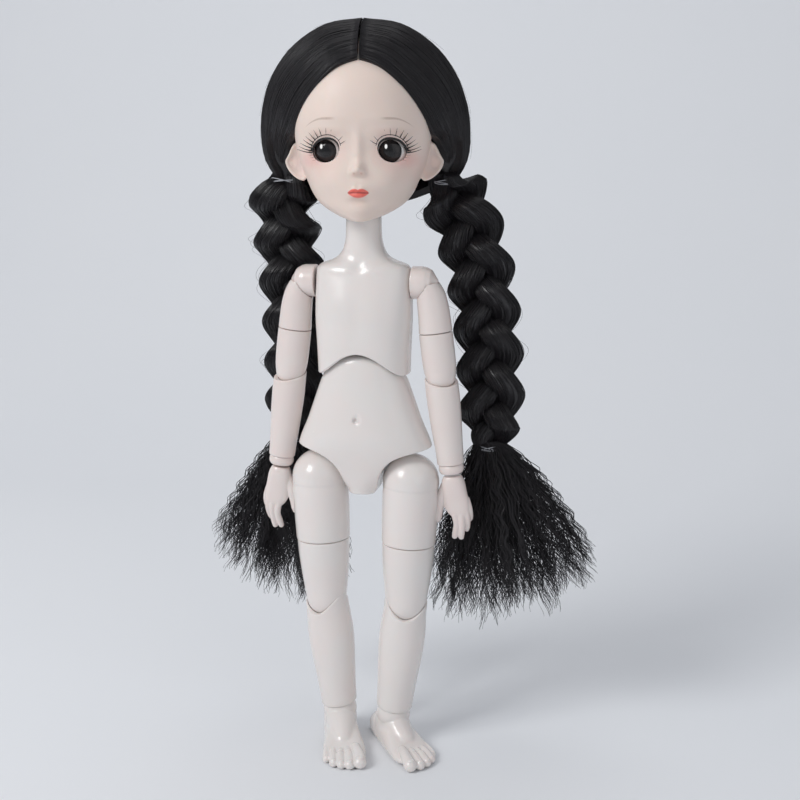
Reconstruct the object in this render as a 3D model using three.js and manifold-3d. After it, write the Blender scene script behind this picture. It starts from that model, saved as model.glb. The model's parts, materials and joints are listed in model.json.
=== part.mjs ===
// A ball jointed doll, standing, in millimetres, with +Z up.
// It faces -Y, its own left is +X, and the floor under its soles is z = 0.
// Its shells, limbs and joints are moulded plastic, and its head is a soft vinyl shell with rooted hair.
import * as THREE from "three";
import { mergeVertices } from "three/addons/utils/BufferGeometryUtils.js";
import Module from "manifold-3d";

const wasm = await Module();
wasm.setup();

// Gaps between pieces, how far a cut runs past what it cuts, and the thinnest step of a turned form
const gap = 0.3;
const jointGap = 0.35;
const overrun = 1;
const step = 2;

// Legs, from the floor up: heights between the joints, and how far in from the hips the knees and ankles stand
const ankleHeight = 12.5;
const ankleToKnee = 50.5;
const kneeToThighTurn = 26.5;
const thighTurnToHip = 26.5;
const hipSpread = 19.5;
const kneeInset = 2.2;
const ankleInset = 5.5;
const kneeSpread = hipSpread - kneeInset;
const ankleSpread = kneeSpread - ankleInset;
const kneeHeight = ankleHeight + ankleToKnee;
const thighTurnHeight = kneeHeight + kneeToThighTurn;
const hipHeight = thighTurnHeight + thighTurnToHip;

// Body, from the hips up
const hipToWaist = 41;
const waistToShoulder = 41;
const shoulderToNeckBall = 31;
const waistHeight = hipHeight + hipToWaist;
const shoulderHeight = waistHeight + waistToShoulder;
const neckBallHeight = shoulderHeight + shoulderToNeckBall;

// The arm reaches from the shoulder nearly to the hip joint, and hangs a little away from the body
const armLength = (hipToWaist + waistToShoulder) * 0.927;
const shoulderToTurn = armLength * 0.263;
const shoulderToElbow = armLength * 0.4934;
const elbowToWrist = armLength * 0.5066;
const armRoot = 7.4;

// Turns of the standing pose, in degrees, positive towards the doll's left
const headTurn = 9;
const kneeTurn = { right: 3, left: 14 };
const footTurn = { right: 12, left: 39 };
const elbowTurn = 40;

// Half widths and half depths of the limbs
const hipBallRadius = 11.8;
const thighHalfWidth = 11.4;
const thighHalfDepth = 11.6;
const kneeBallRadius = 8.6;
const shinHalfWidth = 9.6;
const shinHalfDepth = 9;
const ankleBallRadius = 5.9;
const shoulderRadius = 6.7;
const upperArmHalfWidth = 6.9;
const upperArmHalfDepth = 6.7;
const elbowBallRadius = 6.8;
const forearmHalfWidth = 6.8;
const forearmHalfDepth = 6.4;

// Wrist and hand
const wristRadius = 5;
const wristBandHeight = 2.6;
const wristBallRadius = 4.4;
const handLength = 25;
const handHalfWidth = 5.4;
const handHalfDepth = 3;
const fingerLength = 11;
const fingerRadius = 1.35;
const thumbLength = 9;

// Foot
const footHalfWidth = 8;
const footFront = 30;
const footBack = 14.3;
const footTop = 11.5;

// Chest and neck
const chestHalfWidth = 19.6;
const shoulderSpread = chestHalfWidth + armRoot;
const chestFrontDepth = 14.2;
const chestBackDepth = 12.2;
const chestWall = 1.5;
const chestSill = 3.5;
const shoulderRise = 5.5;
const archRise = 9.5;
const neckRadius = 7.2;
const neckDish = 5;
const chestBottom = waistHeight + chestSill;
const chestShoulder = shoulderHeight + shoulderRise;
const neckTopHeight = neckBallHeight - neckDish;

// Belly and pelvis
const waistHalfWidth = 17;
const hipHalfWidth = 28.2;
// The arms lean out as far as the hips flare past the chest, at this distance below the shoulders
const shoulderToFlare = 70.0414;
const armLean = Math.atan2(hipHalfWidth - chestHalfWidth, shoulderToFlare);
const pelvisFrontDepth = 14.4;
const pelvisBackDepth = 15;
const hipCornerRise = 14;
const crotchDrop = 4.6;
const crotchHalfWidth = 4.8;
const bellyDrop = 9;
const navelDrop = 8;
const navelRadius = 1.5;
const shellSplit = 1;
const domeRise = 12;
const hipCornerHeight = hipHeight + hipCornerRise;
const crotchHeight = hipHeight - crotchDrop;
const bellyTop = waistHeight - bellyDrop;
const navelHeight = waistHeight - navelDrop;

// Pins, pegs, posts and tongues of the joints
const pinRadius = 1.2;
const tongueThickness = 3.2;
const tongueRadius = 4;
const pegRadius = 2.4;
const pegLength = 5;
const pegHeadRadius = 3.4;
const pegHeadLength = 2;
const waistBallRadius = 6.5;
const waistPostRadius = 3;
const waistPostLength = 18;
const postHeadLength = 2;
const postHeadLip = 1.3;

// Head
const skullHalfWidth = 27;
const skullFrontDepth = 27;
const skullBackDepth = 27;
const skullHeight = 70.5;
const skullWall = 2.4;
const chinDrop = 6;
const headSplit = 3;
const eyeRadius = 7;
const eyeSpread = 12.5;
const eyeRise = 27;
const eyeHalfWidth = 5;
const eyeHalfHeight = 4.6;
const eyeSink = 0.9;
const lashLength = 2.5;
const lashThickness = 0.35;
const lidThickness = 0.7;
const neckHoleRadius = 9.4;
const earRadius = 8.5;
const noseLength = 5;
const noseRise = 18.4;
const lipRise = 11.5;
const lipHalfWidth = 3.5;
const neckBallRadius = 5.6;
const neckPostRadius = 3;
const neckPostHeight = 13;
const skullBottom = neckBallHeight - chinDrop;
const skullTop = skullBottom + skullHeight;
const eyeHeight = skullBottom + eyeRise;
const eyeFront = skullFrontDepth * 0.78;
const eyeCentre = -eyeFront + eyeSink + eyeRadius;
const lipHeight = skullBottom + lipRise;
const noseHeight = skullBottom + noseRise;

// Hair
const hairHalfWidth = 41.8;
const hairCrown = 6.9;
const hairBackDepth = 34;
const hairFrontDepth = 24;
const hairHem = 10;
const hairlineDrop = 11;
const hairlineHalfWidth = 25.6;
const partHalfGap = 0.25;
const tieRise = 14;
const tieSpread = 33;
const tieBack = 13;
const tieRadius = 6.2;
const tieThickness = 1.2;
const lowerTieRadius = 5.9;
const braidRadius = 12.6;
const braidLength = 104;
const braidBack = 19.5;
const braidLumps = 10;
const tasselLength = 68;
const tasselHalfWidth = 30;
const tasselHalfDepth = 8.6;
const hairTop = skullTop + hairCrown;
const hairlineTop = skullTop - hairlineDrop;
const tieHeight = skullBottom + tieRise;
const hairBottom = skullBottom + hairHem;

const skin = new THREE.MeshStandardMaterial({ color: 0xeae5df, roughness: 0.25, metalness: 0 });
const armSkin = new THREE.MeshStandardMaterial({ color: 0xecdfdb, roughness: 0.25, metalness: 0 });
const faceSkin = new THREE.MeshStandardMaterial({ color: 0xe8d8ca, roughness: 0.6, metalness: 0 });
const innerPlastic = new THREE.MeshStandardMaterial({ color: 0xd8d4ce, roughness: 0.4, metalness: 0 });
const hair = new THREE.MeshStandardMaterial({ color: 0x0c0b0f, roughness: 0.35, metalness: 0 });
const band = new THREE.MeshStandardMaterial({ color: 0xc9ccd2, roughness: 0.3, metalness: 0 });
const eyeGlaze = new THREE.MeshStandardMaterial({ color: 0x2a2522, roughness: 0.08, metalness: 0 });
const lashFibre = new THREE.MeshStandardMaterial({ color: 0x0a0909, roughness: 0.5, metalness: 0 });

// Solids
function solid(geometry) {
  const bare = (geometry.index ? geometry.toNonIndexed() : geometry).clone();
  bare.deleteAttribute("normal");
  bare.deleteAttribute("uv");
  const merged = mergeVertices(bare, 1e-4);
  return new wasm.Manifold(
    new wasm.Mesh({
      numProp: 3,
      vertProperties: merged.attributes.position.array,
      triVerts: new Uint32Array(merged.index.array),
    }),
  );
}

function geometryOf(body) {
  const mesh = body.getMesh();
  const geometry = new THREE.BufferGeometry();
  geometry.setAttribute("position", new THREE.BufferAttribute(mesh.vertProperties, 3));
  geometry.setIndex(new THREE.BufferAttribute(mesh.triVerts, 1));
  const flat = geometry.toNonIndexed();
  flat.computeVertexNormals();
  return flat;
}

function piece(name, body, material) {
  const mesh = new THREE.Mesh(geometryOf(body), material.clone());
  mesh.name = name;
  return mesh;
}

function moved(geometry, x, y, z) {
  return geometry.translate(x, y, z);
}

function ball(radius, x = 0, y = 0, z = 0, around = 16, down = 10) {
  const geometry = new THREE.SphereGeometry(radius, around, down).rotateX(Math.PI / 2);
  return solid(moved(geometry, x, y, z));
}

function ellipsoid(a, b, c, x, y, z, around = 16, down = 10) {
  const geometry = new THREE.SphereGeometry(1, around, down).rotateX(Math.PI / 2).scale(a, b, c);
  return solid(moved(geometry, x, y, z));
}

function block(low, high) {
  const size = high.map((value, i) => value - low[i]);
  const middle = high.map((value, i) => (value + low[i]) / 2);
  return solid(moved(new THREE.BoxGeometry(...size), ...middle));
}

function rod(radius, from, to, sides = 16, endRadius = radius) {
  const start = new THREE.Vector3(...from);
  const along = new THREE.Vector3(...to).sub(start);
  const length = along.length();
  const geometry = new THREE.CylinderGeometry(endRadius, radius, length, sides);
  const turn = new THREE.Quaternion().setFromUnitVectors(new THREE.Vector3(0, 1, 0), along.normalize());
  geometry.applyQuaternion(turn);
  return solid(moved(geometry, ...start.addScaledVector(along, length / 2)));
}

// One closed skin through level rings, each [height, half width, front depth, back depth, aside, ahead, fullness]
function loft(rings, sides = 24) {
  const points = [];
  const faces = [];
  rings.forEach(([z, width, front, back, aside = 0, ahead = 0, fullness = 2]) => {
    for (let i = 0; i < sides; i++) {
      const angle = (2 * Math.PI * i) / sides;
      const c = Math.cos(angle);
      const s = Math.sin(angle);
      const x = Math.sign(c) * Math.abs(c) ** (2 / fullness) * width + aside;
      const y = Math.sign(s) * Math.abs(s) ** (2 / fullness) * (s < 0 ? front : back) - ahead;
      points.push(x, y, z);
    }
  });
  const rising = rings[rings.length - 1][0] > rings[0][0];
  const face = (a, b, c) => faces.push(...(rising ? [a, b, c] : [a, c, b]));
  for (let ring = 0; ring + 1 < rings.length; ring++) {
    for (let i = 0; i < sides; i++) {
      const next = (i + 1) % sides;
      const low = ring * sides;
      const high = low + sides;
      face(low + i, low + next, high + next);
      face(low + i, high + next, high + i);
    }
  }
  const top = (rings.length - 1) * sides;
  for (let i = 1; i + 1 < sides; i++) {
    face(0, i + 1, i);
    face(top, top + i, top + i + 1);
  }
  const geometry = new THREE.BufferGeometry();
  geometry.setAttribute("position", new THREE.Float32BufferAttribute(points, 3));
  geometry.setIndex(faces);
  return solid(geometry);
}

// Limb rings from shares of a length, a half width and a half depth, downwards from zero
function limb(length, halfWidth, halfDepth, shares, sides = 24) {
  const rings = shares.map(([down, wide, front, back, aside = 0, ahead = 0]) => [
    -down * length,
    wide * halfWidth,
    front * halfDepth,
    back * halfDepth,
    aside * halfWidth,
    ahead * halfDepth,
  ]);
  return loft(rings, sides);
}

// A prism through the doll from front to back, from an outline of [x, z] points
function prism(outline, front, back) {
  const shape = new THREE.Shape(outline.map(([x, z]) => new THREE.Vector2(x, z)));
  const geometry = new THREE.ExtrudeGeometry(shape, { depth: back - front, bevelEnabled: false });
  return solid(moved(geometry.rotateX(Math.PI / 2), 0, back, 0));
}

// The peg of a swivel joint: a shaft with a snap head, up from zero
function snapPeg(extra, sides = 8) {
  const shaftTop = pegLength - pegHeadLength;
  const profile = [
    [0, -overrun - extra],
    [pegRadius + extra, -overrun - extra],
    [pegRadius + extra, shaftTop - extra],
    [pegHeadRadius + extra, shaftTop - extra],
    [pegRadius + extra, pegLength + extra],
    [0, pegLength + extra],
  ].map(([x, y]) => new THREE.Vector2(x, y));
  return solid(new THREE.LatheGeometry(profile, sides).rotateX(Math.PI / 2));
}

// The flat tongue of a hinge that turns about X, with the stem that carries it, down from the pin
function tongue(radius, stemLength, thickness = tongueThickness) {
  const disc = rod(radius, [-thickness / 2, 0, 0], [thickness / 2, 0, 0], 12);
  const stem = block([-thickness / 2, -radius * 0.6, -stemLength], [thickness / 2, radius * 0.6, 0]);
  return disc.add(stem);
}

// The slot that a tongue swings in: open below, and open to one side
function slot(radius, reach, side, thickness = tongueThickness) {
  const half = thickness / 2 + gap;
  const space = radius + gap;
  const stem = radius * 0.6 + gap;
  const disc = rod(space, [-half, 0, 0], [half, 0, 0], 12);
  const front = side < 0 ? -reach : -stem;
  const back = side < 0 ? stem : reach;
  return disc.add(block([-half, front, -reach], [half, back, stem]));
}

function pin(halfLength, radius = pinRadius) {
  return rod(radius, [-halfLength, 0, 0], [halfLength, 0, 0], 8);
}

// Legs
const thighLean = Math.atan2(hipSpread - kneeSpread, hipHeight - kneeHeight);
const shinLean = Math.atan2(kneeSpread - ankleSpread, kneeHeight - ankleHeight);
const hipToTurn = (hipHeight - thighTurnHeight) / Math.cos(thighLean);
const turnToKnee = (thighTurnHeight - kneeHeight) / Math.cos(thighLean);
const kneeToAnkle = (kneeHeight - ankleHeight) / Math.cos(shinLean);

const thighTopShares = [
  [0, 0.98, 0.96, 0.98],
  [0.35, 1, 1, 1],
  [0.7, 1, 1, 0.99],
  [1, 0.98, 0.96, 0.96],
];
const thighLowShares = [
  [0, 0.98, 0.96, 0.96],
  [0.3, 0.95, 0.9, 0.9],
  [0.6, 0.85, 0.77, 0.76],
  [0.82, 0.79, 0.66, 0.58],
  [1, 0.68, 0.5, 0.46],
];
const shinShares = [
  [0, 0.84, 0.74, 0.72],
  [0.09, 0.88, 0.8, 0.8],
  [0.2, 0.97, 0.88, 1],
  [0.32, 1, 0.92, 1.1],
  [0.5, 0.96, 0.9, 1.06],
  [0.7, 0.86, 0.84, 0.9],
  [0.92, 0.79, 0.8, 0.82],
];

const hipDiscRadius = tongueRadius * 1.25;

function hipKnuckle() {
  const bar = rod(tongueRadius, [-hipBallRadius * 0.95, 0, 0], [-tongueRadius * 1.5, 0, 0], 12);
  const disc = rod(hipDiscRadius, [0, -tongueThickness / 2, 0], [0, tongueThickness / 2, 0], 14);
  const web = block(
    [-tongueRadius * 1.6, -tongueThickness / 2, -tongueRadius * 0.7],
    [0, tongueThickness / 2, tongueRadius * 0.7],
  );
  return bar.add(disc).add(web);
}

function hipSlot() {
  const half = tongueThickness / 2 + gap;
  const disc = rod(hipDiscRadius + gap, [0, -half, 0], [0, half, 0], 14);
  const mouth = block(
    [-hipBallRadius - overrun, -half, -tongueRadius * 0.7 - gap],
    [0, half, hipBallRadius * 0.95],
  );
  const barRoom = block(
    [-hipBallRadius - overrun, -tongueRadius - gap, -tongueRadius - gap * 3],
    [-tongueRadius * 1.4, tongueRadius + gap, hipBallRadius * 0.95],
  );
  return disc.add(mouth).add(barRoom);
}

function thighUpper() {
  const body = limb(hipToTurn - gap / 2, thighHalfWidth, thighHalfDepth, thighTopShares, 16);
  const hollow = snapPeg(gap, 12).translate([0, 0, -hipToTurn]);
  return body.add(ball(hipBallRadius, 0, 0, 0, 16, 10)).subtract(hipSlot()).subtract(hollow);
}

function thighLower() {
  const body = limb(turnToKnee, thighHalfWidth, thighHalfDepth, thighLowShares, 16);
  const cut = snapPeg(0);
  const knee = ball(kneeBallRadius, 0, 0, -turnToKnee, 16, 8);
  const room = slot(tongueRadius, kneeBallRadius + overrun, 1).translate([0, 0, -turnToKnee]);
  const bore = pin(kneeBallRadius * 0.62 + gap, pinRadius + gap).translate([0, 0, -turnToKnee]);
  return body.translate([0, 0, -gap / 2]).add(knee).add(cut).subtract(room).subtract(bore);
}

// What is set square to the piece above, seen from a piece that leans and is turned about its own length
function setSquare(body, lean, turn) {
  return body.rotate([0, 0, turn]).rotate([0, lean, 0]).rotate([0, 0, -turn]);
}

function shin(side, sign) {
  const body = limb(kneeToAnkle, shinHalfWidth, shinHalfDepth, shinShares, 16);
  const knee = ball(kneeBallRadius + jointGap, 0, 0, 0, 16, 8);
  const ankle = ball(ankleBallRadius + jointGap, 0, 0, -kneeToAnkle, 14, 8);
  const peg = snapPeg(gap, 12).translate([0, 0, -kneeToAnkle + ankleBallRadius]);
  const bore = pin(kneeBallRadius * 0.62 + gap, pinRadius + gap);
  const blade = tongue(tongueRadius, kneeBallRadius + overrun).subtract(bore);
  const lean = -sign * THREE.MathUtils.radToDeg(shinLean - thighLean);
  return body.subtract(knee).add(setSquare(blade, lean, kneeTurn[side])).subtract(ankle).subtract(peg);
}

function ankleKnuckle() {
  const peg = snapPeg(0).translate([0, 0, ankleBallRadius]);
  const neck = rod(pegRadius, [0, 0, pegRadius * 0.5], [0, 0, ankleBallRadius], 8);
  const disc = rod(pegHeadRadius, [-tongueThickness / 2, 0, 0], [tongueThickness / 2, 0, 0], 12);
  return peg.add(neck).add(disc);
}

const footOutlineShares = [
  [-1, 0.3, 0.2, -0.26],
  [-0.93, 0.48, 0.42, -0.24],
  [-0.6, 0.64, 0.62, -0.13],
  [0, 0.7, 0.8, 0],
  [0.3, 0.8, 0.62, 0.02],
  [0.6, 0.95, 0.42, 0.05],
  [0.8, 1, 0.3, 0.06],
  [0.9, 0.97, 0.24, 0.06],
];
const toeSize = footHalfWidth * 0.29;
const toeShares = [
  [-0.72, 1.45, 1],
  [-0.27, 1.05, 0.97],
  [0.1, 0.95, 0.93],
  [0.44, 0.88, 0.86],
  [0.76, 0.84, 0.77],
];

// The foot stands on z = -ankleHeight, with its toes towards -Y and its big toe on the given side
function foot(side, sign) {
  const rings = footOutlineShares.map(([along, wide, high, drift]) => {
    const y = along < 0 ? along * footBack : along * footFront;
    return [y, wide * footHalfWidth, high * footTop, high * footTop, drift * footHalfWidth * -sign, 0, 2.4];
  });
  const lying = loft(rings, 12).rotate([90, 0, 0]).translate([0, 0, -ankleHeight]);
  const toes = toeShares.map(([across, size, along]) =>
    ellipsoid(
      toeSize * size * 0.78,
      toeSize * size * 1.5,
      toeSize * size,
      -across * footHalfWidth * -sign,
      -along * footFront,
      toeSize * size * 0.75 - ankleHeight,
      6,
      4,
    ),
  );
  const dome = ball(ankleBallRadius, 0, 0, 0, 14, 8);
  const instep = loft(
    [
      [-footTop * 0.75, footHalfWidth * 0.7, footHalfWidth * 1.3, footHalfWidth * 0.8],
      [-footTop * 0.4, footHalfWidth * 0.66, footHalfWidth * 0.9, footHalfWidth * 0.72],
      [0, footHalfWidth * 0.62, footHalfWidth * 0.64, footHalfWidth * 0.62],
    ],
    12,
  );
  let body = lying.add(dome).add(instep);
  toes.forEach((toe) => {
    body = body.add(toe);
  });
  const reach = footFront * 2;
  const under = block([-reach, -reach, -reach], [reach, reach, -ankleHeight]);
  const half = tongueThickness / 2 + gap;
  const disc = rod(pegHeadRadius + gap, [-half, 0, 0], [half, 0, 0], 12);
  const mouth = block(
    [-pegRadius - gap, -pegRadius * 1.9, 0],
    [pegRadius + gap, pegRadius * 1.9, footTop],
  );
  const room = setSquare(disc.add(mouth), sign * THREE.MathUtils.radToDeg(shinLean), footTurn[side]);
  return body.subtract(under).subtract(room);
}

function buildLeg(side, sign) {
  const leg = new THREE.Group();
  leg.position.set(sign * hipSpread, 0, hipHeight);
  leg.name = `hip_${side}`;
  leg.add(piece(`hip_knuckle_${side}`, sign > 0 ? hipKnuckle() : hipKnuckle().mirror([1, 0, 0]), innerPlastic));
  const thigh = new THREE.Group();
  thigh.rotation.y = sign * thighLean;
  thigh.name = `thigh_${side}`;
  leg.add(thigh);
  thigh.add(piece(`thigh_upper_${side}`, sign > 0 ? thighUpper() : thighUpper().mirror([1, 0, 0]), skin));
  const turn = new THREE.Group();
  turn.position.z = -hipToTurn;
  turn.rotation.z = THREE.MathUtils.degToRad(kneeTurn[side]);
  turn.name = `thigh_turn_${side}`;
  thigh.add(turn);
  turn.add(piece(`thigh_lower_${side}`, thighLower(), skin));
  const kneePin = piece(`knee_pin_${side}`, pin(kneeBallRadius * 0.62), innerPlastic);
  kneePin.position.z = -turnToKnee;
  turn.add(kneePin);
  const knee = new THREE.Group();
  knee.position.z = -hipToTurn - turnToKnee;
  knee.rotation.y = sign * (shinLean - thighLean);
  thigh.add(knee);
  const facing = new THREE.Group();
  facing.name = `knee_${side}`;
  facing.rotation.z = THREE.MathUtils.degToRad(kneeTurn[side]);
  knee.add(facing);
  facing.add(piece(`shin_${side}`, shin(side, sign), skin));
  const ankle = new THREE.Group();
  ankle.position.z = -kneeToAnkle;
  ankle.name = `ankle_${side}`;
  knee.add(ankle);
  const knuckle = piece(`ankle_knuckle_${side}`, ankleKnuckle(), innerPlastic);
  knuckle.rotation.z = THREE.MathUtils.degToRad(footTurn[side]);
  ankle.add(knuckle);
  const level = new THREE.Group();
  level.rotation.y = -sign * shinLean;
  ankle.add(level);
  const toed = new THREE.Group();
  toed.name = `instep_${side}`;
  toed.rotation.z = THREE.MathUtils.degToRad(footTurn[side]);
  level.add(toed);
  toed.add(piece(`foot_${side}`, foot(side, sign), skin));
  return leg;
}

// Pelvis and belly, split into a front and a back shell
const bellyShares = [
  [0, 0.2, 0.62, 0.6],
  [0.12, 0.36, 0.7, 0.78],
  [0.3, 0.69, 0.81, 0.95],
  [0.42, 0.93, 0.89, 1.005],
  [0.5, 1, 0.93, 1],
  [0.55, 0.99, 0.96, 0.98],
  [0.7, 0.92, 0.995, 0.9],
  [0.88, 0.83, 0.975, 0.82],
  [1, 0.77, 0.93, 0.775],
];
// The rounded top of the belly, each ring [rise above the waist as a share of the dome, wide, front, back]
const domeShares = [
  [-0.04, 1.1, 0.84, 0.87],
  [0.14, 1.055, 0.81, 0.85],
  [0.24, 0.985, 0.78, 0.81],
  [0.45, 0.95, 0.75, 0.78],
  [0.7, 0.85, 0.7, 0.7],
  [1, 0.54, 0.5, 0.5],
];

function bellyRings() {
  const height = bellyTop - crotchHeight;
  return bellyShares.map(([up, wide, front, back]) => [
    crotchHeight + up * height,
    wide * hipHalfWidth,
    front * pelvisFrontDepth,
    back * pelvisBackDepth,
    0,
    0,
    2.3,
  ]);
}

function legHole(sign) {
  const outer = hipHalfWidth + overrun;
  const points = [
    [outer, hipCornerHeight],
    [hipHalfWidth, hipCornerHeight],
    [hipHalfWidth * 0.82, hipCornerHeight - hipBallRadius * 0.16],
    [hipHalfWidth * 0.6, hipCornerHeight - hipBallRadius * 0.32],
    [hipHalfWidth * 0.43, hipCornerHeight - hipBallRadius * 0.62],
    [hipHalfWidth * 0.31, hipCornerHeight - hipBallRadius * 1.02],
    [hipHalfWidth * 0.22, crotchHeight + hipBallRadius * 0.22],
    [crotchHalfWidth, crotchHeight],
    [crotchHalfWidth, crotchHeight - hipBallRadius],
    [outer, crotchHeight - hipBallRadius],
  ].map(([x, z]) => [sign * x, z]);
  return prism(points, -pelvisFrontDepth * 2, pelvisBackDepth * 2);
}

function pelvis() {
  const top = domeShares.map(([up, wide, front, back]) => [
    waistHeight + up * domeRise,
    wide * waistHalfWidth,
    front * chestFrontDepth,
    back * chestBackDepth,
    0,
    0,
    2.2,
  ]);
  let body = loft([...bellyRings(), ...top], 20);
  [-1, 1].forEach((sign) => {
    const socket = ball(hipBallRadius + jointGap, sign * hipSpread, 0, hipHeight, 16, 10);
    body = body.subtract(legHole(sign)).subtract(socket);
    const bore = rod(
      tongueRadius + gap,
      [sign * crotchHalfWidth * 0.55, 0, hipHeight],
      [sign * hipSpread, 0, hipHeight],
      16,
    );
    body = body.subtract(bore);
  });
  const navel = ellipsoid(
    navelRadius,
    navelRadius,
    navelRadius * 1.9,
    0,
    -pelvisFrontDepth * 0.91,
    navelHeight,
    10,
    8,
  );
  const ballRoom = ball(waistBallRadius + gap, 0, 0, waistHeight, 12, 8);
  const neckRoom = rod(
    waistBallRadius * 0.8,
    [0, 0, waistHeight],
    [0, 0, waistHeight + domeRise + overrun],
    12,
    waistBallRadius,
  );
  return body.subtract(navel).subtract(ballRoom).subtract(neckRoom);
}

function frontHalf(body) {
  const far = hipHalfWidth * 3;
  return body.intersect(block([-far, -far, 0], [far, shellSplit - gap / 2, hairTop + overrun]));
}

function backHalf(body) {
  const far = hipHalfWidth * 3;
  return body.intersect(block([-far, shellSplit + gap / 2, 0], [far, far, hairTop + overrun]));
}

// The waist joint: a ball in the belly, with a post up into the chest
function waistBall() {
  const top = waistHeight + waistPostLength;
  const post = rod(waistPostRadius, [0, 0, waistHeight], [0, 0, top - postHeadLength], 10);
  const head = rod(waistPostRadius + postHeadLip, [0, 0, top - postHeadLength], [0, 0, top], 10);
  return ball(waistBallRadius, 0, 0, waistHeight, 12, 8).add(post).add(head);
}

// Chest and neck, one moulding split into a front and a back shell
const chestShares = [
  [0, 0.965, 0.9, 0.93],
  [0.12, 0.97, 0.92, 0.94],
  [0.34, 0.985, 0.97, 0.97],
  [0.52, 1.005, 1, 0.99],
  [0.7, 1, 0.92, 1],
  [0.86, 0.99, 0.78, 0.94],
  [0.95, 0.975, 0.68, 0.83],
  [1, 0.93, 0.62, 0.74],
];
const cavityRings = 3;
const neckShares = [
  [0.09, 2.3, 1.12, 1.14],
  [0.17, 1.72, 1.04, 1.06],
  [0.27, 1.26, 1, 1],
  [0.42, 1.05, 0.97, 0.97],
  [0.6, 1, 0.94, 0.94],
  [1, 1, 0.93, 0.93],
];

function chestSkin(inset) {
  const height = chestShoulder - chestBottom;
  return chestShares.map(([up, wide, front, back]) => [
    chestBottom + up * height,
    wide * chestHalfWidth - inset,
    front * chestFrontDepth - inset,
    back * chestBackDepth - inset,
    0,
    0,
    2.5,
  ]);
}

function chest() {
  const rise = neckTopHeight - chestShoulder;
  const neck = neckShares.map(([up, wide, front, back]) => [
    chestShoulder + up * rise,
    wide * neckRadius,
    front * neckRadius,
    back * neckRadius,
    0,
    0,
    2,
  ]);
  const below = [[chestBottom - step, ...chestSkin(0)[0].slice(1)]];
  let body = loft([...below, ...chestSkin(0), ...neck], 20);
  const arch = new THREE.Shape();
  const foot = chestBottom - archRise;
  arch.moveTo(-chestHalfWidth * 2, foot);
  arch.lineTo(-chestHalfWidth * 2, chestBottom);
  arch.lineTo(-chestHalfWidth * 0.9, chestBottom);
  arch.bezierCurveTo(
    -chestHalfWidth * 0.5,
    chestBottom + archRise * 0.35,
    -chestHalfWidth * 0.35,
    chestBottom + archRise,
    0,
    chestBottom + archRise,
  );
  arch.bezierCurveTo(
    chestHalfWidth * 0.35,
    chestBottom + archRise,
    chestHalfWidth * 0.5,
    chestBottom + archRise * 0.35,
    chestHalfWidth * 0.9,
    chestBottom,
  );
  arch.lineTo(chestHalfWidth * 2, chestBottom);
  arch.lineTo(chestHalfWidth * 2, foot);
  const cut = new THREE.ExtrudeGeometry(arch, {
    depth: chestFrontDepth * 4,
    bevelEnabled: false,
    curveSegments: 6,
  }).rotateX(Math.PI / 2);
  body = body.subtract(solid(moved(cut, 0, chestFrontDepth * 2, 0)));
  const cavity = chestSkin(chestWall).slice(0, cavityRings);
  const roof = cavity[cavityRings - 1];
  const ceiling = waistHeight + domeRise + step;
  const lifted = [[cavity[0][0] - archRise, ...cavity[0].slice(1)], ...cavity].filter(
    (ring) => ring[0] < ceiling - step,
  );
  const hollow = loft([...lifted, [ceiling, roof[1] * 0.9, roof[2] * 0.88, roof[3] * 0.88, 0, 0, 2.3]], 16);
  body = body.subtract(hollow);
  const postTop = waistHeight + waistPostLength;
  const seatBottom = postTop - postHeadLength - gap;
  body = body.subtract(rod(waistPostRadius + gap, [0, 0, waistHeight], [0, 0, postTop], 14));
  const postSeat = rod(waistPostRadius + postHeadLip + gap, [0, 0, seatBottom], [0, 0, postTop + gap], 14);
  body = body.subtract(postSeat);
  [-1, 1].forEach((sign) => {
    const root = sign * chestHalfWidth;
    const bore = rod(
      pegRadius + gap,
      [root + sign * step, 0, shoulderHeight],
      [root - sign * (pegLength + step), 0, shoulderHeight],
      10,
    );
    const seat = rod(
      pegHeadRadius + gap,
      [root - sign * (pegLength - pegHeadLength), 0, shoulderHeight],
      [root - sign * (pegLength + gap), 0, shoulderHeight],
      10,
    );
    body = body.subtract(bore).subtract(seat);
    const dish = rod(
      shoulderRadius + gap,
      [root - sign * gap, 0, shoulderHeight],
      [root + sign * chestWall * 2, 0, shoulderHeight],
      14,
    );
    body = body.subtract(dish);
  });
  return body.subtract(ball(neckBallRadius + gap, 0, 0, neckBallHeight, 14, 10));
}

// Arms
const shoulderDiscRadius = tongueRadius * 1.2;

// The shoulder joint: a peg into the chest, a round boss, and a tongue in the arm
function shoulderKnuckle() {
  const peg = snapPeg(0).rotate([0, -90, 0]).translate([-armRoot, 0, 0]);
  const boss = rod(shoulderRadius, [-armRoot + gap, 0, 0], [-armRoot * 0.42, 0, 0], 16, shoulderRadius * 0.88);
  const disc = rod(shoulderDiscRadius, [0, -tongueThickness / 2, 0], [0, tongueThickness / 2, 0], 12);
  const web = block(
    [-armRoot * 0.6, -tongueThickness / 2, -tongueRadius * 0.8],
    [0, tongueThickness / 2, tongueRadius * 0.8],
  );
  const bore = rod(pinRadius + gap, [0, -shoulderRadius, 0], [0, shoulderRadius, 0], 8);
  return peg.add(boss).add(disc).add(web).subtract(bore);
}

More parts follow.
